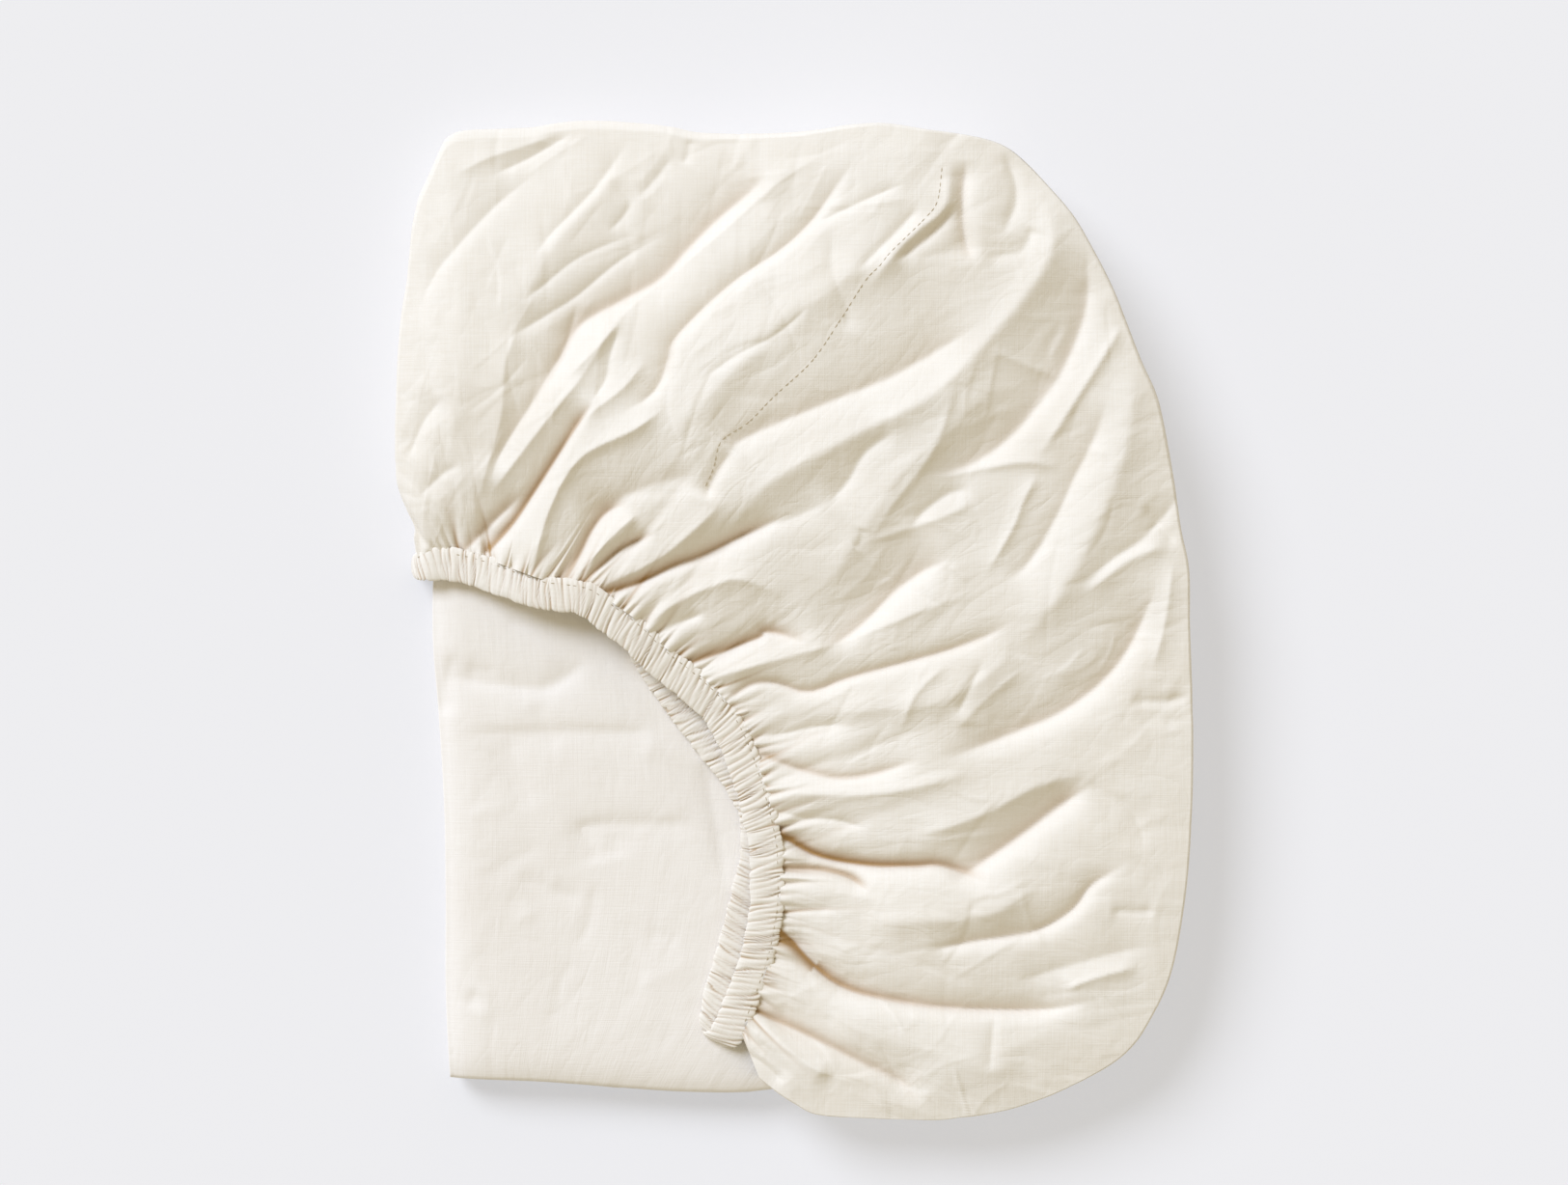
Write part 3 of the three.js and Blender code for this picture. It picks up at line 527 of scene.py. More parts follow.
def cotton_percale(name, light, shade, crumple_mm, crumple_share):
    """Washed cotton percale: matt natural-white plain weave, slubs, soft fuzz, fine crumple and painted fold
    shade.
    """
    material = bpy.data.materials.new(name)
    material.use_nodes = True
    tree = material.node_tree
    flat = add_node(tree, "ShaderNodeUVMap", uv_map="flat_cloth").outputs["UV"]

    # Threads lie about 0.35 mm apart, too fine to show in the render, so they are drawn 0.8 mm apart.
    thread = 0.8 * MM
    wave = {"Vector": flat, "Scale": 2 * math.pi / 20 / thread, "Distortion": 1.2, "Detail": 2.0,
            "Detail Scale": 0.4}
    warp = add_node(tree, "ShaderNodeTexWave", wave, bands_direction="X").outputs["Fac"]
    weft = add_node(tree, "ShaderNodeTexWave", wave, bands_direction="Y").outputs["Fac"]
    weave = add_node(tree, "ShaderNodeMath", {0: warp, 1: weft}, operation="ADD").outputs["Value"]

    # Slubs are thicker stretches of thread, 14 to 18 mm long and 0.7 to 0.8 mm wide, both ways of the weave.
    slubs = []
    for x_mm, y_mm in ((14.0, 0.7), (0.8, 18.0)):
        scale = (1 / (x_mm * MM), 1 / (y_mm * MM), 1)
        place = add_node(tree, "ShaderNodeMapping", {"Vector": flat, "Scale": scale}).outputs["Vector"]
        noise = {"Vector": place, "Scale": 1.0, "Detail": 2.0, "Roughness": 0.6}
        slubs.append(add_node(tree, "ShaderNodeTexNoise", noise).outputs["Fac"])
    slub = add_node(tree, "ShaderNodeMath", {0: slubs[0], 1: slubs[1]}, operation="ADD").outputs["Value"]

    # The crumple left by washing is a net of crisp creases, drawn out along the run of the folds.
    folded = add_node(tree, "ShaderNodeUVMap", uv_map="fold_run").outputs["UV"]
    reliefs = []
    for across, along, tall_mm in ((2.2, 4.5, 0.25), (1.1, 2.0, 0.15), (0.5, 0.8, 0.05)):
        scale = (1 / (across * crumple_mm * MM), 1 / (along * crumple_mm * MM), 1)
        place = add_node(tree, "ShaderNodeMapping", {"Vector": folded, "Scale": scale}).outputs["Vector"]
        noise = {"Vector": place, "Scale": 1.0, "Detail": 1.0, "Roughness": 0.4, "Distortion": 0.8}
        net = add_node(tree, "ShaderNodeTexNoise", noise).outputs["Fac"]
        centred = add_node(tree, "ShaderNodeMath", {0: net, 1: 0.5}, operation="SUBTRACT").outputs["Value"]
        crisp = add_node(tree, "ShaderNodeMath", {0: centred}, operation="ABSOLUTE").outputs["Value"]
        reliefs.append((crisp, 1.0, 4 * crumple_share * tall_mm * MM))
    reliefs += [(slub, 0.35, 0.25 * MM), (weave, 0.08, 0.12 * MM)]
    facing = {}
    for height, strength, distance in reliefs:
        inputs = {"Height": height, "Strength": strength, "Distance": distance}
        facing = {"Normal": add_node(tree, "ShaderNodeBump", inputs | facing).outputs["Normal"]}

    # Colour drifts a little between a cleaner and a warmer natural white, by patches and by threads.
    patch = add_node(tree, "ShaderNodeTexNoise", {"Vector": flat, "Scale": 1 / (45 * MM), "Detail": 3.0})
    drift = add_node(tree, "ShaderNodeMath", {0: patch.outputs["Fac"], 1: slub}, operation="ADD")
    spread = {"Value": drift.outputs["Value"], "From Min": 1.1, "From Max": 1.9}
    tone = add_node(tree, "ShaderNodeMapRange", spread).outputs["Result"]
    colours = {"Factor": tone, 6: linear(light), 7: linear(shade)}
    colour = add_node(tree, "ShaderNodeMix", colours, data_type="RGBA").outputs[2]
    # Shade is painted into the colour: deep in folds, tucks and pleat lines it is mixed towards a warm dark
    # brown, warm like the light that has passed through the cloth and between its folds.
    depth = add_node(tree, "ShaderNodeAttribute", attribute_name="painted_crease_shade").outputs["Fac"]
    colours = {"Factor": depth, 6: colour, 7: linear(PAINTED_FOLD_SHADE)}
    warm = add_node(tree, "ShaderNodeMix", colours, data_type="RGBA").outputs[2]
    matt = {"Roughness": 0.9, "IOR": 1.45, "Specular IOR Level": 0.25, "Sheen Weight": 0.12,
            "Sheen Roughness": 0.6}
    fill(tree, tree.nodes["Principled BSDF"], {"Base Color": warm} | facing | matt)
    return material


def even_run(points, counts):
    """Distance along a smooth curve at counts of its points, and the shares and distances of its samples."""
    last = len(points) - 1
    dense = np.linspace(0, 1, 40 * last + 1)
    walked = walk(spline(points, dense))
    return np.interp(counts / last, dense, walked), dense, walked


def hood_columns():
    """Mouth point, rim point, crown height and distance along the mouth of each column, even in a panel."""
    mouth_at, mouth_share, mouth_walk = even_run(HOOD_MOUTH, HOOD_RUNS[:, 0])
    rim_at, rim_share, rim_walk = even_run(HOOD_RIM, HOOD_RUNS[:, 1])
    both = mouth_at / mouth_at[-1] + rim_at / rim_at[-1]
    seam = both[HOOD_SEAM_RUN]
    place = np.concatenate([np.linspace(0, seam, HOOD_LEFT_COLUMNS),
                            np.linspace(seam, both[-1], HOOD_RIGHT_COLUMNS)[1:]])
    mouth_run = np.interp(place, both, mouth_at)
    rim_run = np.interp(place, both, rim_at)
    mouth = spline(HOOD_MOUTH, np.interp(mouth_run, mouth_walk, mouth_share))
    rim = spline(HOOD_RIM, np.interp(rim_run, rim_walk, rim_share))
    return mouth[:, None], rim[:, None], np.interp(place, both, HOOD_RUNS[:, 2])[:, None], mouth_run[:, None]


def with_height(level, height):
    """Points or directions from their level part, x and y, and their height."""
    height = np.broadcast_to(height, level.shape[:-1])
    return np.concatenate([level, height[..., None]], axis=-1)


def hood_surface():
    """Outside of the hood as a grid of points, with the direction it faces, its flat places and its painted
    shade.

    Each column runs from the mouth in a straight line to the rim. Along it the cloth rises as a quarter sine
    to the crown and rounds over at the rim as a quarter of a superellipse, then turns in under the pack as a
    quarter ellipse and ends in a level lip. The folds, gathers and creases move it along the way it faces.
    """
    random = np.random.default_rng(HOOD_SEED)
    mouth, side, crown, walked = hood_columns()
    axis = PACK_AXIS[1] - PACK_AXIS[0]
    share = np.clip(((side - PACK_AXIS[0]) @ axis) / (axis @ axis), 0, 1)
    outward = unit(side - PACK_AXIS[0] - share[..., None] * axis)
    run = side - mouth[..., :2]
    length = np.linalg.norm(run, axis=-1)

    # Rows lie closer together towards the rim, where the cloth rounds over.
    u = np.linspace(0, 1, HOOD_TOP_ROWS)
    f = 0.6 * u + 0.4 * u * (2 - u)
    rise = np.sin(math.pi / 2 * np.minimum(1, f / HOOD_RISE_SHARE))
    wall = HOOD_WALL_SHARE * crown
    near_side = np.maximum(0, -(outward @ LAMP_WAY))
    far_side = np.maximum(0, outward @ LAMP_WAY)

    def towards_rim(reach):
        return np.maximum(0, 1 - (1 - f) * length / np.minimum(reach, HOOD_RIM_SHARE * length))

    tip = towards_rim(HOOD_RIM_ROUND + HOOD_RIM_SOFT * near_side)
    round_off = (1 - tip**HOOD_RIM_POWER) ** (1 / HOOD_RIM_POWER)
    slump = HOOD_SLUMP * near_side * towards_rim(HOOD_SLUMP_REACH) ** 1.5
    slump = slump + HOOD_FAR_SLUMP * far_side * towards_rim(HOOD_FAR_REACH) ** 1.3
    open_height = mouth[..., 2] + (crown - mouth[..., 2]) * rise - slump
    top = with_height(mouth[..., :2] + f[:, None] * run, wall + (open_height - wall) * round_off)
    top_facing = unit(with_height((tip**1.5)[..., None] * outward, round_off))

    turn = np.linspace(0, math.pi / 2, HOOD_WALL_ROWS + 1)[1:]
    inset = HOOD_UNDERCUT * (1 - np.cos(turn))
    low = with_height(side - inset[:, None] * outward, wall * (1 - np.sin(turn)))
    low_facing = with_height(np.cos(turn)[:, None] * outward, -np.sin(turn))
    lip_run = np.linspace(0, HOOD_UNDER_LIP, HOOD_LIP_ROWS + 1)[1:]
    lip = low[:, -1:] - with_height(lip_run[:, None] * outward, 0.0)
    lip_facing = np.broadcast_to(np.array([0.0, 0.0, -1.0]), lip.shape)

    out = f * length
    x, y = top[..., 0], top[..., 1]
    heading = np.broadcast_to(np.arctan2(run[..., 1], run[..., 0]), x.shape)
    folds = HOOD_FOLDS + small_creases(x, y, heading, random)
    # Beside heights, the folds and the gathers give the shade painted into the colour in crevices and tucks
    relief, crevice_shade = fold_relief(x, y, folds, mouth=mouth[:, 0, :2])
    puffs, tucks = gathers(walked, out, walked[-1, 0], random)
    hold = HOOD_HELD + (1 - HOOD_HELD) * ease(out / HOOD_HELD_REACH)
    spine = fold_relief(x, y, HOOD_SPINE)[0] * ease(out / HOOD_SPINE_REACH) * (1 - tip)
    sewn = -HOOD_SEWN_DIP * np.exp(-((out / HOOD_SEWN_REACH) ** 2))
    relief = HOOD_RELIEF * relief * hold * (1 - 0.5 * tip) + spine + puffs + sewn
    moved = top + relief[..., None] * top_facing
    # The cloth can't sink into the packet, except at the rim, which lies outside it.
    lowest = PACKET_TOP + HOOD_CLEARANCE + CLOTH_THICKNESS
    moved[..., 2] = np.where(tip < 0.6, np.maximum(moved[..., 2], lowest), moved[..., 2])
    swell = relief[:, -1:] * np.cos(turn) - wall_dents(side[:, 0], turn, random)
    low = low + swell[..., None] * with_height(outward, 0.0)

    points = np.concatenate([moved, low, lip], axis=1)
    facing = np.concatenate([top_facing, low_facing, lip_facing], axis=1)
    beyond = np.concatenate([HOOD_SIDE_GIRTH * turn, HOOD_SIDE_GIRTH * math.pi / 2 + lip_run])
    flat = np.concatenate([moved[..., :2], side + beyond[:, None] * outward], axis=1)
    along = np.concatenate([out, length + beyond], axis=1)
    folds_run = np.stack([np.broadcast_to(HOOD_RUN_STRETCH * walked, along.shape), along], axis=-1)
    unseen = np.zeros((len(along), len(beyond)))
    # Shade painted into the colour in crevices and tucks, held to a most, none on the side and lip
    painted_shade = np.concatenate([np.clip(crevice_shade + tucks, 0, HOOD_PAINTED_SHADE_MOST), unseen], axis=1)
    return points, facing, flat, folds_run, painted_shade


def under_side(points, facing, thickness, step):
    """Coarse back of a sheet: its points moved back by the thickness and held below the dips between them."""
    columns, rows = points.shape[:2]
    padded = np.pad(points[..., 2], step, mode="edge")
    low = points[..., 2].copy()
    for shift in range(2 * step + 1):
        low = np.minimum(low, padded[shift:shift + columns, step:step + rows])
        low = np.minimum(low, padded[step:step + columns, shift:shift + rows])
    back = points - thickness * facing
    upward = facing[..., 2] > 0.5
    back[..., 2] = np.where(upward, np.minimum(back[..., 2], low - thickness), back[..., 2])
    return back[::step, ::step]


def both_faces(front, back):
    """Rows of a fine front grid, followed by those of its coarse back."""
    return np.concatenate([grid.reshape(-1, *grid.shape[2:]) for grid in (front, back)])


percale = cotton_percale("washed_cotton_percale", NATURAL_WHITE, NATURAL_SHADE, 9.0, 0.9)
hood_points, hood_facing, hood_flat, hood_run, hood_painted_shade = hood_surface()
hood_back = under_side(hood_points, hood_facing, CLOTH_THICKNESS, HOOD_BACK_STEP)
hood_normals = unit(np.cross(np.gradient(hood_points, axis=0), np.gradient(hood_points, axis=1)))
seam = HOOD_LEFT_COLUMNS - 1
hood_panels = []
for name, columns in (("hood_left_panel", slice(0, seam + 1)), ("hood_right_panel", slice(seam, None))):
    sparse = slice(columns.start, columns.stop, HOOD_BACK_STEP), slice(None, None, HOOD_BACK_STEP)
    back = slice(columns.start // HOOD_BACK_STEP, columns.stop and columns.stop // HOOD_BACK_STEP + 1)
    panel = add_mesh(
        name,
        both_faces(hood_points[columns], hood_back[back]),
        shell_faces(*hood_points[columns].shape[:2], HOOD_BACK_STEP),
        both_faces(hood_flat[columns], hood_flat[sparse]),
        percale,
        run_mm=both_faces(hood_run[columns], hood_run[sparse]),
        painted_shade=both_faces(hood_painted_shade[columns], hood_painted_shade[sparse]),
        normals=both_faces(hood_normals[columns], -hood_normals[sparse]),
    )
    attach(panel, "root")
    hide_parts("cloth")
    hood_panels.append(panel)

# The packet is the body of the sheet, the same cotton percale, folded back and forth into a flat stack of
# plies with its soft folds at the left and right. The top ply shows in front of the hood's mouth, with the
# creases of an earlier folding.
PACKET_PLIES = 13
PACKET_PLY = 0.8
PACKET_TOP_END = 165.0
PACKET_WIDTH = 250.0
PACKET_SEED = 11
PACKET_SQUASH = 0.24
PACKET_SQUASH_REACH = 6.0
PACKET_LEFT_LOOSE = 2.6
PACKET_RIGHT_LOOSE = 5.0
PACKET_FAINT_CREASES = 46

# Steps of the mesh: across the part of the top ply that shows and the rest of it, across each other ply and
# round each fold, and along the pack where it shows and where it doesn't
PACKET_SHOWN_SHARE = 0.62
PACKET_SHOWN_STEPS = 112
PACKET_UNSEEN_STEPS = 9
PACKET_PLY_STEPS = 7
PACKET_FOLD_STEPS = 8
PACKET_SHOWN_LENGTH = 0.6
PACKET_SHOWN_RINGS = 132
PACKET_UNSEEN_RINGS = 15

# Left and right edges of the packet from its bottom end to its top end, and its bottom end across it, in mm
PACKET_LEFT = [-130, -131.5, -131.5, -132, -134, -136.5, -135, -127, -120, -112, -102]
PACKET_RIGHT = [58, 96, 114, 124, 126, 125, 119, 110, 98, 82, 58]
PACKET_BOTTOM = [-174, -176, -178.5, -179.5, -178, -170, -158]

# Creases of the top ply: height, width, skew, points on the line
PACKET_CREASES = [
    (-2.2, 6, 0.3, [(-134, -18), (-114, -21), (-96, -21), (-81, -10)]),
    (-1.3, 5, -0.5, [(-128, -40), (-89, -39), (-46, -40)]),
    (-0.9, 5, 0, [(-112, -44), (-107, -58), (-101, -73)]),
    (-1.2, 5, -0.4, [(-89, -75), (-63, -74), (-34, -75)]),
    (-0.6, 2.5, 0, [(-70, -81), (-70, -86), (-70, -91)]),
    (-0.8, 5, 0, [(-83, -78), (-79, -86), (-76, -94)]),
    (-0.8, 3.5, 0, [(-105, -96), (-92, -101), (-79, -105)]),
    (-1.0, 4, 0.3, [(-37, -54), (-34, -69), (-31, -83), (-28, -102)]),
    (-0.8, 2.5, 0, [(-123, -140), (-125, -144), (-126, -147)]),
    (-1.3, 3, 0, [(-132, -11), (-135, -25), (-134, -38)]),
]


def curve_value(values, t):
    """Smooth value at t from 0 to 1 along an evenly spaced list."""
    return spline(np.asarray(values, dtype=float)[:, None], t)[..., 0]


def packet_path(random):
    """Middle line of the plies seen along the pack, level across each ply and a half circle at each fold.

    A row is the share across, the offset from there, the height, the lean and lift of the cloth and its ply.
    """
    pitch = (PACKET_TOP - PACKET_PLY) / (PACKET_PLIES - 1)
    shown = np.linspace(0, PACKET_SHOWN_SHARE, PACKET_SHOWN_STEPS)
    fine = np.concatenate([shown, np.linspace(PACKET_SHOWN_SHARE, 1, PACKET_UNSEEN_STEPS)[1:]])
    coarse = np.linspace(0, 1, PACKET_PLY_STEPS)
    bend = np.linspace(-math.pi / 2, math.pi / 2, PACKET_FOLD_STEPS)[1:-1]
    left_inset = random.uniform(0, PACKET_LEFT_LOOSE, PACKET_PLIES + 1)
    right_inset = random.uniform(0, PACKET_RIGHT_LOOSE, PACKET_PLIES + 1)
    left_inset[PACKET_PLIES // 2] = 0.0
    parts = []
    for ply in range(PACKET_PLIES):
        height = PACKET_PLY / 2 + ply * pitch
        rightwards = ply % 2 == 0
        shares = fine if ply == PACKET_PLIES - 1 else coarse
        shares = shares if rightwards else shares[::-1]
        inset = left_inset[(ply + 1) // 2] * (1 - shares) - right_inset[ply // 2] * shares
        flat = np.zeros_like(shares)
        way = 1.0 if rightwards else -1.0
        parts.append(np.stack([shares, inset, flat + height, flat, flat + way, flat + ply], axis=-1))
        if ply < PACKET_PLIES - 1:
            edge = 1.0 if rightwards else 0.0
            end_inset = -right_inset[ply // 2] if rightwards else left_inset[(ply + 1) // 2]
            offset = end_inset + way * pitch / 2 * np.cos(bend)
            rise = height + pitch / 2 + pitch / 2 * np.sin(bend)
            parts.append(np.stack([edge + 0 * bend, offset, rise, -np.cos(bend), -way * np.sin(bend),
                                   ply + 0.5 + 0 * bend], axis=-1))
    return np.concatenate(parts)


def packet_surface():
    """Both faces of the folded plies as rings along the pack, and the flat place of each point.

    A ring is the path of the plies, moved half a ply each way across the cloth. Rings run from the bottom end
    to the top end between the packet's edges. Heights shrink near the open edges, where the stack is pressed
    flat, and the creases of the top ply press on into the plies below it.
    """
    random = np.random.default_rng(PACKET_SEED)
    path = packet_path(random)
    shown = np.linspace(0, PACKET_SHOWN_LENGTH, PACKET_SHOWN_RINGS)
    t = np.concatenate([shown, np.linspace(PACKET_SHOWN_LENGTH, 1, PACKET_UNSEEN_RINGS)[1:]])
    left, right = curve_value(PACKET_LEFT, t), curve_value(PACKET_RIGHT, t)
    shares, offset, height, lean, lift, ply = path.T
    wobble = random.uniform(-1.3, 1.3, PACKET_PLIES + 1)[np.round(ply).astype(int)]
    phase = random.uniform(0, 6.28, PACKET_PLIES + 1)[np.round(ply).astype(int)]
    bottom = curve_value(PACKET_BOTTOM, shares) + wobble + 0.7 * np.sin(9 * shares + phase) + 0.9
    faint = []
    for centre in random.uniform((-125, -165), (-25, 5), (PACKET_FAINT_CREASES, 2)):
        angle = random.uniform(0, math.pi)
        reach = random.uniform(5, 16) * np.array([math.cos(angle), math.sin(angle)])
        bend = random.uniform(-1.5, 1.5, 2)
        tall = random.uniform(-0.7, 0.45)
        wide = random.uniform(1.8, 4.0)
        faint.append((tall, wide, 0, [centre - reach, centre + bend, centre + reach]))
    rings = []
    for side in (1, -1):
        half = side * PACKET_PLY / 2
        x = left[:, None] + (right - left)[:, None] * shares + offset + half * lean
        y = bottom + (PACKET_TOP_END - bottom) * t[:, None]
        from_left = (x - left[:, None]).clip(0)
        from_bottom = (y - bottom).clip(0)
        press = 1 - PACKET_SQUASH * (np.exp(-from_left / PACKET_SQUASH_REACH)
                                     + np.exp(-from_bottom / PACKET_SQUASH_REACH))
        relief = fold_relief(x, y, PACKET_CREASES + faint)[0]
        relief += 0.35 * np.sin(x / 17 + y / 41) + 0.3 * np.sin(y / 23 - x / 37 + 1.1)
        z = (height + half * lift) * press + relief * (height / PACKET_TOP) ** 1.5
        rings.append(np.stack([x, y, z], axis=-1))
    upper, lower = rings
    points = np.concatenate([upper, lower[:, ::-1]], axis=1)
    steps = walk(np.stack([shares * PACKET_WIDTH, height], axis=-1))
    steps = np.concatenate([steps, steps[::-1]])
    flat = np.stack([np.broadcast_to(steps, points.shape[:2]), points[..., 1]], axis=-1)
    return points, flat


def tube_faces(rings, sides, loop_caps):
    """Faces of rings joined in a row. The caps are strips of quads for a folded ring, or one face each."""
    ring = np.arange(rings * sides).reshape(rings, sides)
    after = np.roll(ring, -1, axis=1)
    faces = np.stack([ring[:-1], after[:-1], after[1:], ring[1:]], axis=-1).reshape(-1, 4).tolist()
    if loop_caps:
        for end, order in ((ring[0], -1), (ring[-1], 1)):
            half = sides // 2
            out, back = end[:half], end[:half - 1:-1]
            faces += np.stack([out[:-1], out[1:], back[1:], back[:-1]], axis=-1)[:, ::order].tolist()
    else:
        faces += [ring[0, ::-1].tolist(), ring[-1].tolist()]
    return faces


# The packet's cloth was pressed flat between its folds, so it looks smoother; its colour is a little lighter.
pressed_percale = cotton_percale("pressed_cotton_percale", "#F5F0E8", "#F1EBE2", 9.0, 0.5)
packet_points, packet_flat = packet_surface()
packet = add_mesh(
    "folded_packet",
    packet_points.reshape(-1, 3),
    tube_faces(*packet_points.shape[:2], loop_caps=True),
    packet_flat.reshape(-1, 2),
    pressed_percale,
)
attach(packet, "root")
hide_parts("cloth")

# The elastic edge is the same cloth turned over a narrow elastic as a casing, so it is drawn into many small
# pleats. It runs up the left side, along the mouth of the hood, round a turn at the bottom and back inside.
# Sizes in mm. A negative gap laps the casing over the sewn edge of the hood.
CASING_WIDTH = 13.2
CASING_THICKNESS = 2.5
CASING_GAP = -1.7
CASING_DROP = 0.8
CASING_STEP = 0.22
CASING_SIDES = 30
CASING_SEED = 5
CASING_INNER_HEIGHT = PACKET_TOP + 2.2
CASING_PLEAT = 1.75
CASING_SLANT = 1.7
CASING_END_SHARE = 0.55
CASING_END_REACH = 13.0
CASING_TURN_NARROW = 0.35
CASING_TURN_REACH = 7.0
# Width in mm of the shade painted into the colour along each pleat line
CASING_GROOVE_SHADE_WIDTH = 0.26

# Climb up the left side: x, y from the start of the mouth, z. Then the turn, from the end of the mouth: dx,
# dy, dz, and the share of the whole route at which it is
CASING_CLIMB = [(-144.2, -3, 1.6), (-144.4, -2.6, 8), (-143.2, -1.8, 14.5), (-139.4, -0.8, 18.2)]
CASING_TURN = [(-2.6, -4.2, -1.0), (-6.0, -3.6, -3.0)]
CASING_TURN_SHARE = 33 / 46

# Inner stretch, from the turn back up under the outer one: x, y
CASING_INNER = [
    (-31.5, -152), (-28, -143), (-24, -131), (-20, -116), (-16.5, -101), (-13.5, -87), (-14.5, -73),
    (-20.5, -61), (-26.5, -53), (-33, -44.5), (-40, -35.5), (-46, -27.5), (-52, -18.5), (-57, -10),
]


def casing_route():
    """Points along the middle of the casing and the level way across it, towards the hood, at each."""
    count = len(HOOD_MOUTH)
    t = np.arange(1, count) / (count - 1)
    small = 0.002
    mouth = spline(HOOD_MOUTH, t)
    ahead = spline(HOOD_MOUTH, np.minimum(t + small, 1)) - spline(HOOD_MOUTH, t - small)
    across = unit(with_height(left_of(ahead), 0.0))
    outer = mouth - (CASING_WIDTH / 2 + CASING_GAP) * across - np.array([0, 0, CASING_DROP])
    climb = np.array(CASING_CLIMB) + np.array([0, outer[0, 1], 0])
    turn = outer[-1] + np.array(CASING_TURN)
    inner = with_height(np.array(CASING_INNER), CASING_INNER_HEIGHT)
    inner_across = unit(with_height(-left_of(np.gradient(inner, axis=0)), 0.0))
    points = np.concatenate([climb, outer, turn, inner])
    climb_across = np.repeat(across[:1], len(climb), 0)
    turn_across = np.repeat(across[-1:], len(turn), 0)
    return points, np.concatenate([climb_across, across, turn_across, inner_across])


def casing_surface():
    """Gathered casing as rings along its route, with each point's flat place and the shade painted along its
    pleats.

    A ring is a flat superellipse. Pleat lines cross the casing at uneven steps, slanted and a little bowed,
    and the cloth between two lines puffs up as 1 less a soft peak at each line. Both edges are scalloped with
    the pleats, and the casing narrows where it turns and where it goes down the side.
    """
    random = np.random.default_rng(CASING_SEED)
    points, ways = casing_route()
    dense = np.linspace(0, 1, 4000)
    walked = walk(spline(points, dense))
    steps = np.arange(0, walked[-1], CASING_STEP)
    t = np.interp(steps, walked, dense)
    centre = spline(points, t)
    across = unit(spline(ways, t))
    facing = unit(np.cross(np.gradient(centre, axis=0), across))

    angle = 2 * math.pi * (np.arange(CASING_SIDES) + 0.5) / CASING_SIDES
    wide = np.sign(np.cos(angle)) * np.abs(np.cos(angle)) ** 0.75
    thick = np.sign(np.sin(angle)) * np.abs(np.sin(angle)) ** 0.85

    count = int(walked[-1] / CASING_PLEAT) + 8
    places = np.cumsum(random.uniform(0.4, 1.7, count)) * CASING_PLEAT - 3 * CASING_PLEAT
    tilt = np.interp(steps, places, random.normal(CASING_SLANT, 0.45, count))[:, None]
    bow = np.interp(steps, places, random.normal(0, 0.5, count))[:, None]
    depth = random.uniform(0.3, 1.0, count)
    grip = random.uniform(-1.0, 1.0, count)
    shifted = steps[:, None] + tilt * wide + bow * wide**2
    nearer, gap, off = nearest_tuck(places, shifted)
    puff = 1 - soft_peak(off**2, 0.15, 0.22 * gap)
    held = depth[nearer] * np.clip(0.75 + grip[nearer] * wide, 0.1, 1.0)
    slow = 0.1 * np.sin(steps / 4.1) + 0.08 * np.sin(steps / 9.7 + 2)
    half_thick = CASING_THICKNESS / 2 * (1.2 + slow[:, None] - 0.8 * held * (1 - puff))
    turn_at = np.interp(CASING_TURN_SHARE, dense, walked)
    narrowed = 1 - CASING_TURN_NARROW * np.exp(-(((steps - turn_at) / CASING_TURN_REACH) ** 2))
    drawn_in = CASING_END_SHARE * np.exp(-((steps / CASING_END_REACH) ** 2))
    narrowed = narrowed * (1 - drawn_in)
    centre = centre + (0.4 * CASING_WIDTH * drawn_in)[:, None] * across
    uneven = np.interp(steps, places, random.uniform(-0.35, 0.35, count))[:, None]
    half_wide = CASING_WIDTH / 2 * narrowed[:, None] + uneven - 0.9 * held * (1 - puff)
    ring = centre[:, None] + (half_wide * wide)[..., None] * across[:, None]
    ring = ring + (half_thick * thick)[..., None] * facing[:, None]
    girth = np.broadcast_to(angle * 4.0, ring.shape[:2])
    flat = np.stack([np.broadcast_to(steps[:, None], ring.shape[:2]), girth], axis=-1)
    # Shade painted into the colour along each pleat line, darker where the pleat is held tighter
    groove_shade = 0.75 * held * np.exp(-((off / CASING_GROOVE_SHADE_WIDTH) ** 2))
    return ring, flat, groove_shade


# The casing's cloth is drawn up tight, so its pleats show and little of the crumple is left.
casing_cloth = cotton_percale("percale_gathered_on_elastic", NATURAL_WHITE, NATURAL_SHADE, 3.0, 0.3)
casing_points, casing_flat, casing_groove_shade = casing_surface()
casing = add_mesh(
    "elastic_casing",
    casing_points.reshape(-1, 3),
    tube_faces(*casing_points.shape[:2], loop_caps=False),
    casing_flat.reshape(-1, 2),
    casing_cloth,
    painted_shade=casing_groove_shade.ravel(),
)
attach(casing, "root")
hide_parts("elastic_edge")

# The sewing is cotton thread a little darker than the cloth, which paints in the shade of its needle holes: a
# lockstitch down the corner seam, where it lies in the join of the two panels, and a row along the mouth that
# holds the casing to the hood.
THREAD_RADIUS = 0.2
STITCH_SINK = 0.05
SEAM_STITCH = 2.6
SEAM_THREAD = 1.9
EDGE_STITCH = 3.1
EDGE_THREAD = 1.5
EDGE_INSET = 0.9
STITCH_SIDES = 6
STITCH_PARTS = (0.0, 0.2, 0.5, 0.8, 1.0)
STITCH_SEED = 3

# Corner seam seen from above, from the rim to the mouth: x, y in mm
CORNER_SEAM = [
    (56, 172), (54, 157), (49, 150), (42, 143), (36, 137), (32, 132), (27, 127), (18, 113), (7, 97),
    (-7, 84), (-17, 74), (-27, 67), (-30, 57), (-34, 48),
]


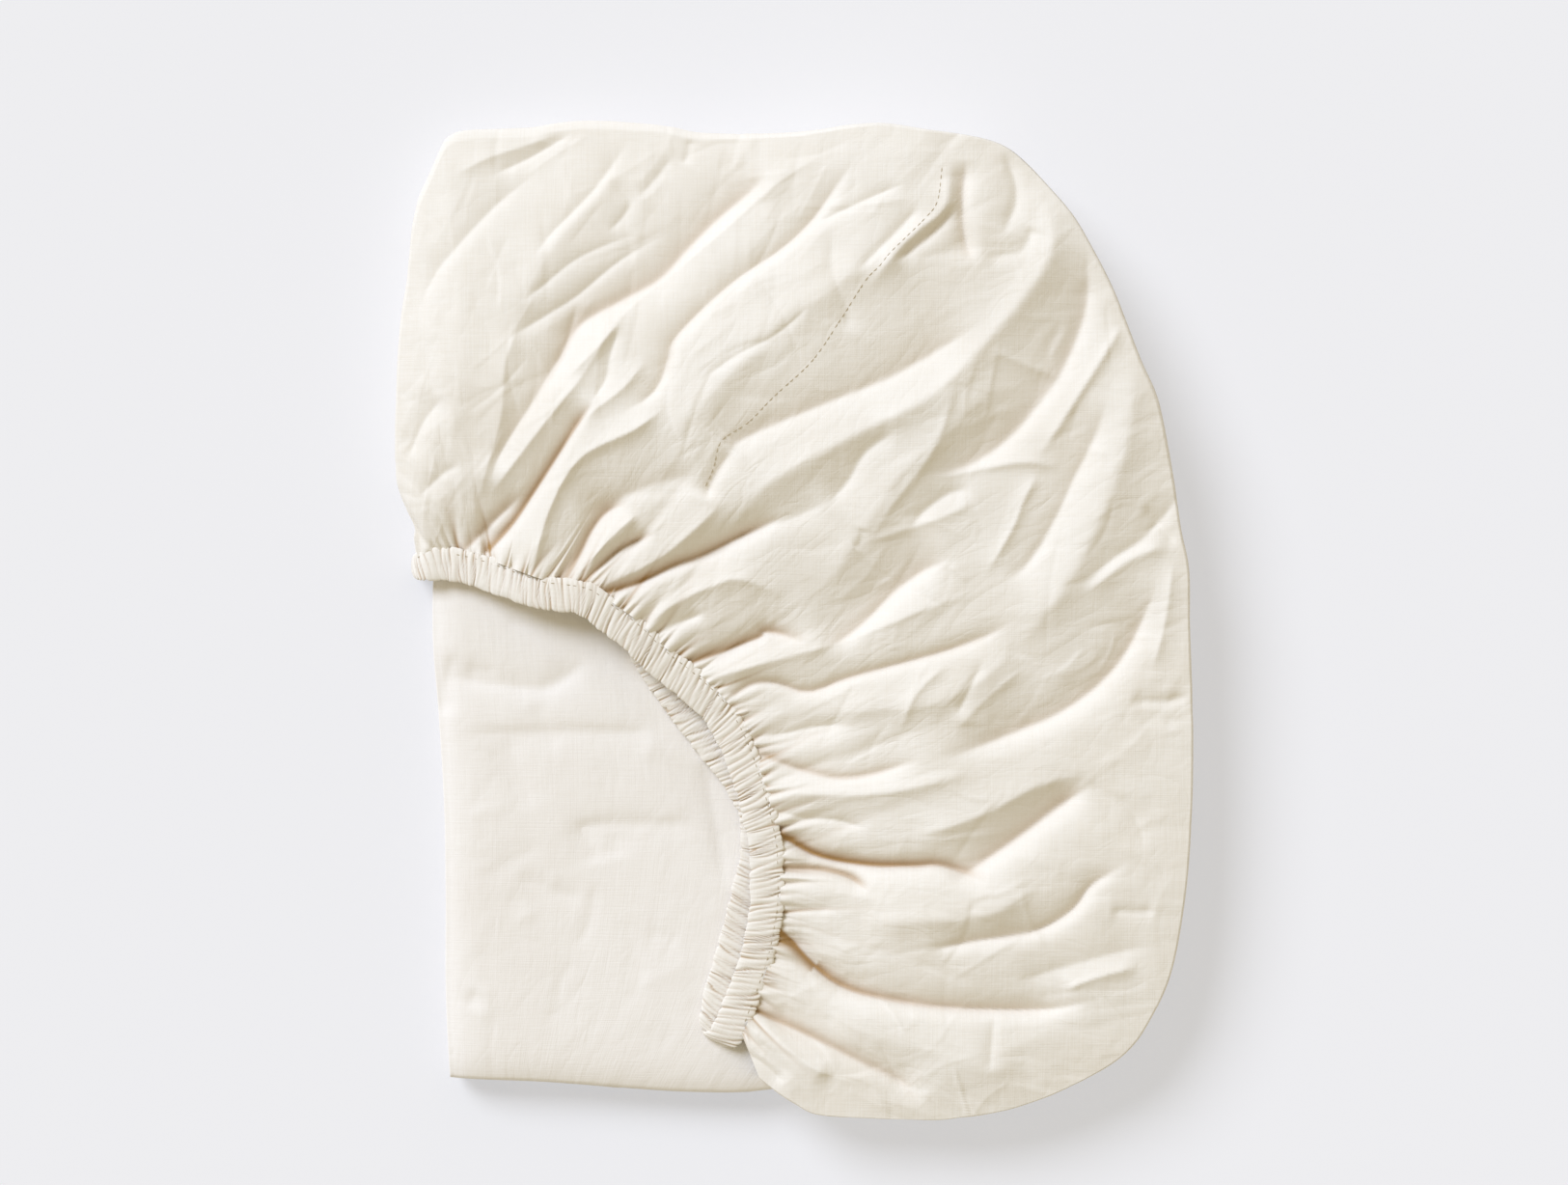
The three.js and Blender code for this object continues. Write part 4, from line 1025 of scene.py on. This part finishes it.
def on_cloth(trees, place):
    """Highest point of the cloth over a place in mm, and the way it faces there."""
    best = None
    for tree in trees:
        hit, facing, _, _ = tree.ray_cast(Vector((place[0] * MM, place[1] * MM, 0.2)), Vector((0, 0, -1)))
        if hit is not None and (best is None or hit.z > best[0].z):
            best = hit, facing
    return np.array(best[0]) / MM, np.array(best[1])


def stitches(trees, points, pitch, length, random):
    """Threads along a line on the cloth: six-sided spindles whose radius shrinks to the ends as a sine."""
    dense = np.linspace(0, 1, 2000)
    walked = walk(spline(points, dense)[:, :2])
    turn = 2 * math.pi * np.arange(STITCH_SIDES) / STITCH_SIDES
    rings = []
    for start in np.arange(pitch, walked[-1] - pitch, pitch):
        start = start + random.uniform(-0.15, 0.15) * pitch
        ends = [np.interp(start + part * length, walked, dense) for part in (0, 1)]
        tail, head = (on_cloth(trees, spline(points, np.array(end))[:2]) for end in ends)
        along = head[0] - tail[0]
        facing = unit(tail[1] + head[1])
        across = unit(np.cross(along, facing))
        for part in STITCH_PARTS:
            radius = THREAD_RADIUS * (0.25 + 0.75 * math.sin(math.pi * part))
            middle = tail[0] + part * along + (0.5 * radius - STITCH_SINK) * facing
            rings.append(middle + radius * (np.cos(turn)[:, None] * across + np.sin(turn)[:, None] * facing))
    return np.array(rings).reshape(-1, len(STITCH_PARTS), STITCH_SIDES, 3)


def search_tree(piece):
    """Search tree of a piece's faces, for rays."""
    mesh = piece.data
    return BVHTree.FromPolygons([v.co for v in mesh.vertices], [p.vertices for p in mesh.polygons])


stitch_random = np.random.default_rng(STITCH_SEED)
hood_trees = [search_tree(panel) for panel in hood_panels]
mouth_line = spline(HOOD_MOUTH, np.linspace(0.05, 1, 160))
mouth_along = unit(np.gradient(mouth_line, axis=0))
edge_line = mouth_line[:, :2] - EDGE_INSET * left_of(mouth_along)
threads = np.concatenate([
    stitches(hood_trees, CORNER_SEAM, SEAM_STITCH, SEAM_THREAD, stitch_random),
    stitches(hood_trees + [search_tree(casing)], edge_line, EDGE_STITCH, EDGE_THREAD, stitch_random),
])
one_thread = tube_faces(len(STITCH_PARTS), STITCH_SIDES, loop_caps=False)
thread_points = threads.reshape(-1, 3)
thread_faces = []
for first in range(0, len(thread_points), len(STITCH_PARTS) * STITCH_SIDES):
    thread_faces += [[first + corner for corner in face] for face in one_thread]
# The thread is spun from the same matt cotton, a few shades darker as painted shade of its needle holes.
cotton_thread = cotton_percale("spun_cotton_thread", "#C6B89F", "#B9AA8F", 1.0, 0.1)
sewing = add_mesh("sewing_thread", thread_points, thread_faces, thread_points[:, :2], cotton_thread)
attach(sewing, "root")

# The studio is a plain pale sweep of paper under one large soft lamp at the upper left, with an even fill.
# The paper glows a little, which stands for the light that the rest of the room throws on it.
FLOOR_HALF = 2.5
FLOOR_DROP = 0.0003
LAMP_PLACE = (-0.64, 0.71, 0.77)
LAMP_SPREAD = math.radians(30)
LAMP_STRENGTH = 2.9
PACK_CENTRE = Vector((0.0, 0.0, 0.02))
floor_mesh = bpy.data.meshes.new("floor")
floor_square = ((-1, -1), (1, -1), (1, 1), (-1, 1))
floor_corners = [(x * FLOOR_HALF, y * FLOOR_HALF, -FLOOR_DROP) for x, y in floor_square]
floor_mesh.from_pydata(floor_corners, [], [(0, 1, 2, 3)])
paper = bpy.data.materials.new("pale_sweep_paper")
paper.use_nodes = True
fill(paper.node_tree, paper.node_tree.nodes["Principled BSDF"], {
    "Base Color": linear("#C5BFB6"), "Roughness": 0.85, "Specular IOR Level": 0.1,
    "Emission Color": linear("#E2ECFF"), "Emission Strength": 0.43,
})
floor_mesh.materials.append(paper)
floor = add_object("floor", floor_mesh)

lamp_data = bpy.data.lights.new("soft_lamp", "SUN")
lamp_data.angle = LAMP_SPREAD
lamp_data.energy = LAMP_STRENGTH
lamp_data.color = linear("#D9E5FF")[:3]
lamp = add_object("soft_lamp", lamp_data)
lamp.location = LAMP_PLACE
lamp.rotation_euler = (PACK_CENTRE - lamp.location).to_track_quat("-Z", "Y").to_euler()

world = bpy.data.worlds.new("soft_fill")
world.use_nodes = True
background = {"Color": linear("#FFF4D7"), "Strength": 0.545}
fill(world.node_tree, world.node_tree.nodes["Background"], background)
bpy.context.scene.world = world
bpy.context.scene.view_settings.view_transform = "Standard"

# The camera looks straight down. The photograph is 1625 pixels wide at about 0.366 mm a pixel.
PHOTO_WIDTH_PX = 1625
MM_PER_PX = 0.366
VIEW_CENTRE_MM = (-3.5, 10.2)
CAMERA_HEIGHT = 1.7
SENSOR_MM = 36.0
camera_data = bpy.data.cameras.new("camera")
camera_data.sensor_width = SENSOR_MM
camera_data.lens = SENSOR_MM * (CAMERA_HEIGHT - PACK_CENTRE.z) / (PHOTO_WIDTH_PX * MM_PER_PX * MM)
camera = add_object("camera", camera_data)
camera.location = (VIEW_CENTRE_MM[0] * MM, VIEW_CENTRE_MM[1] * MM, CAMERA_HEIGHT)
bpy.context.scene.camera = camera
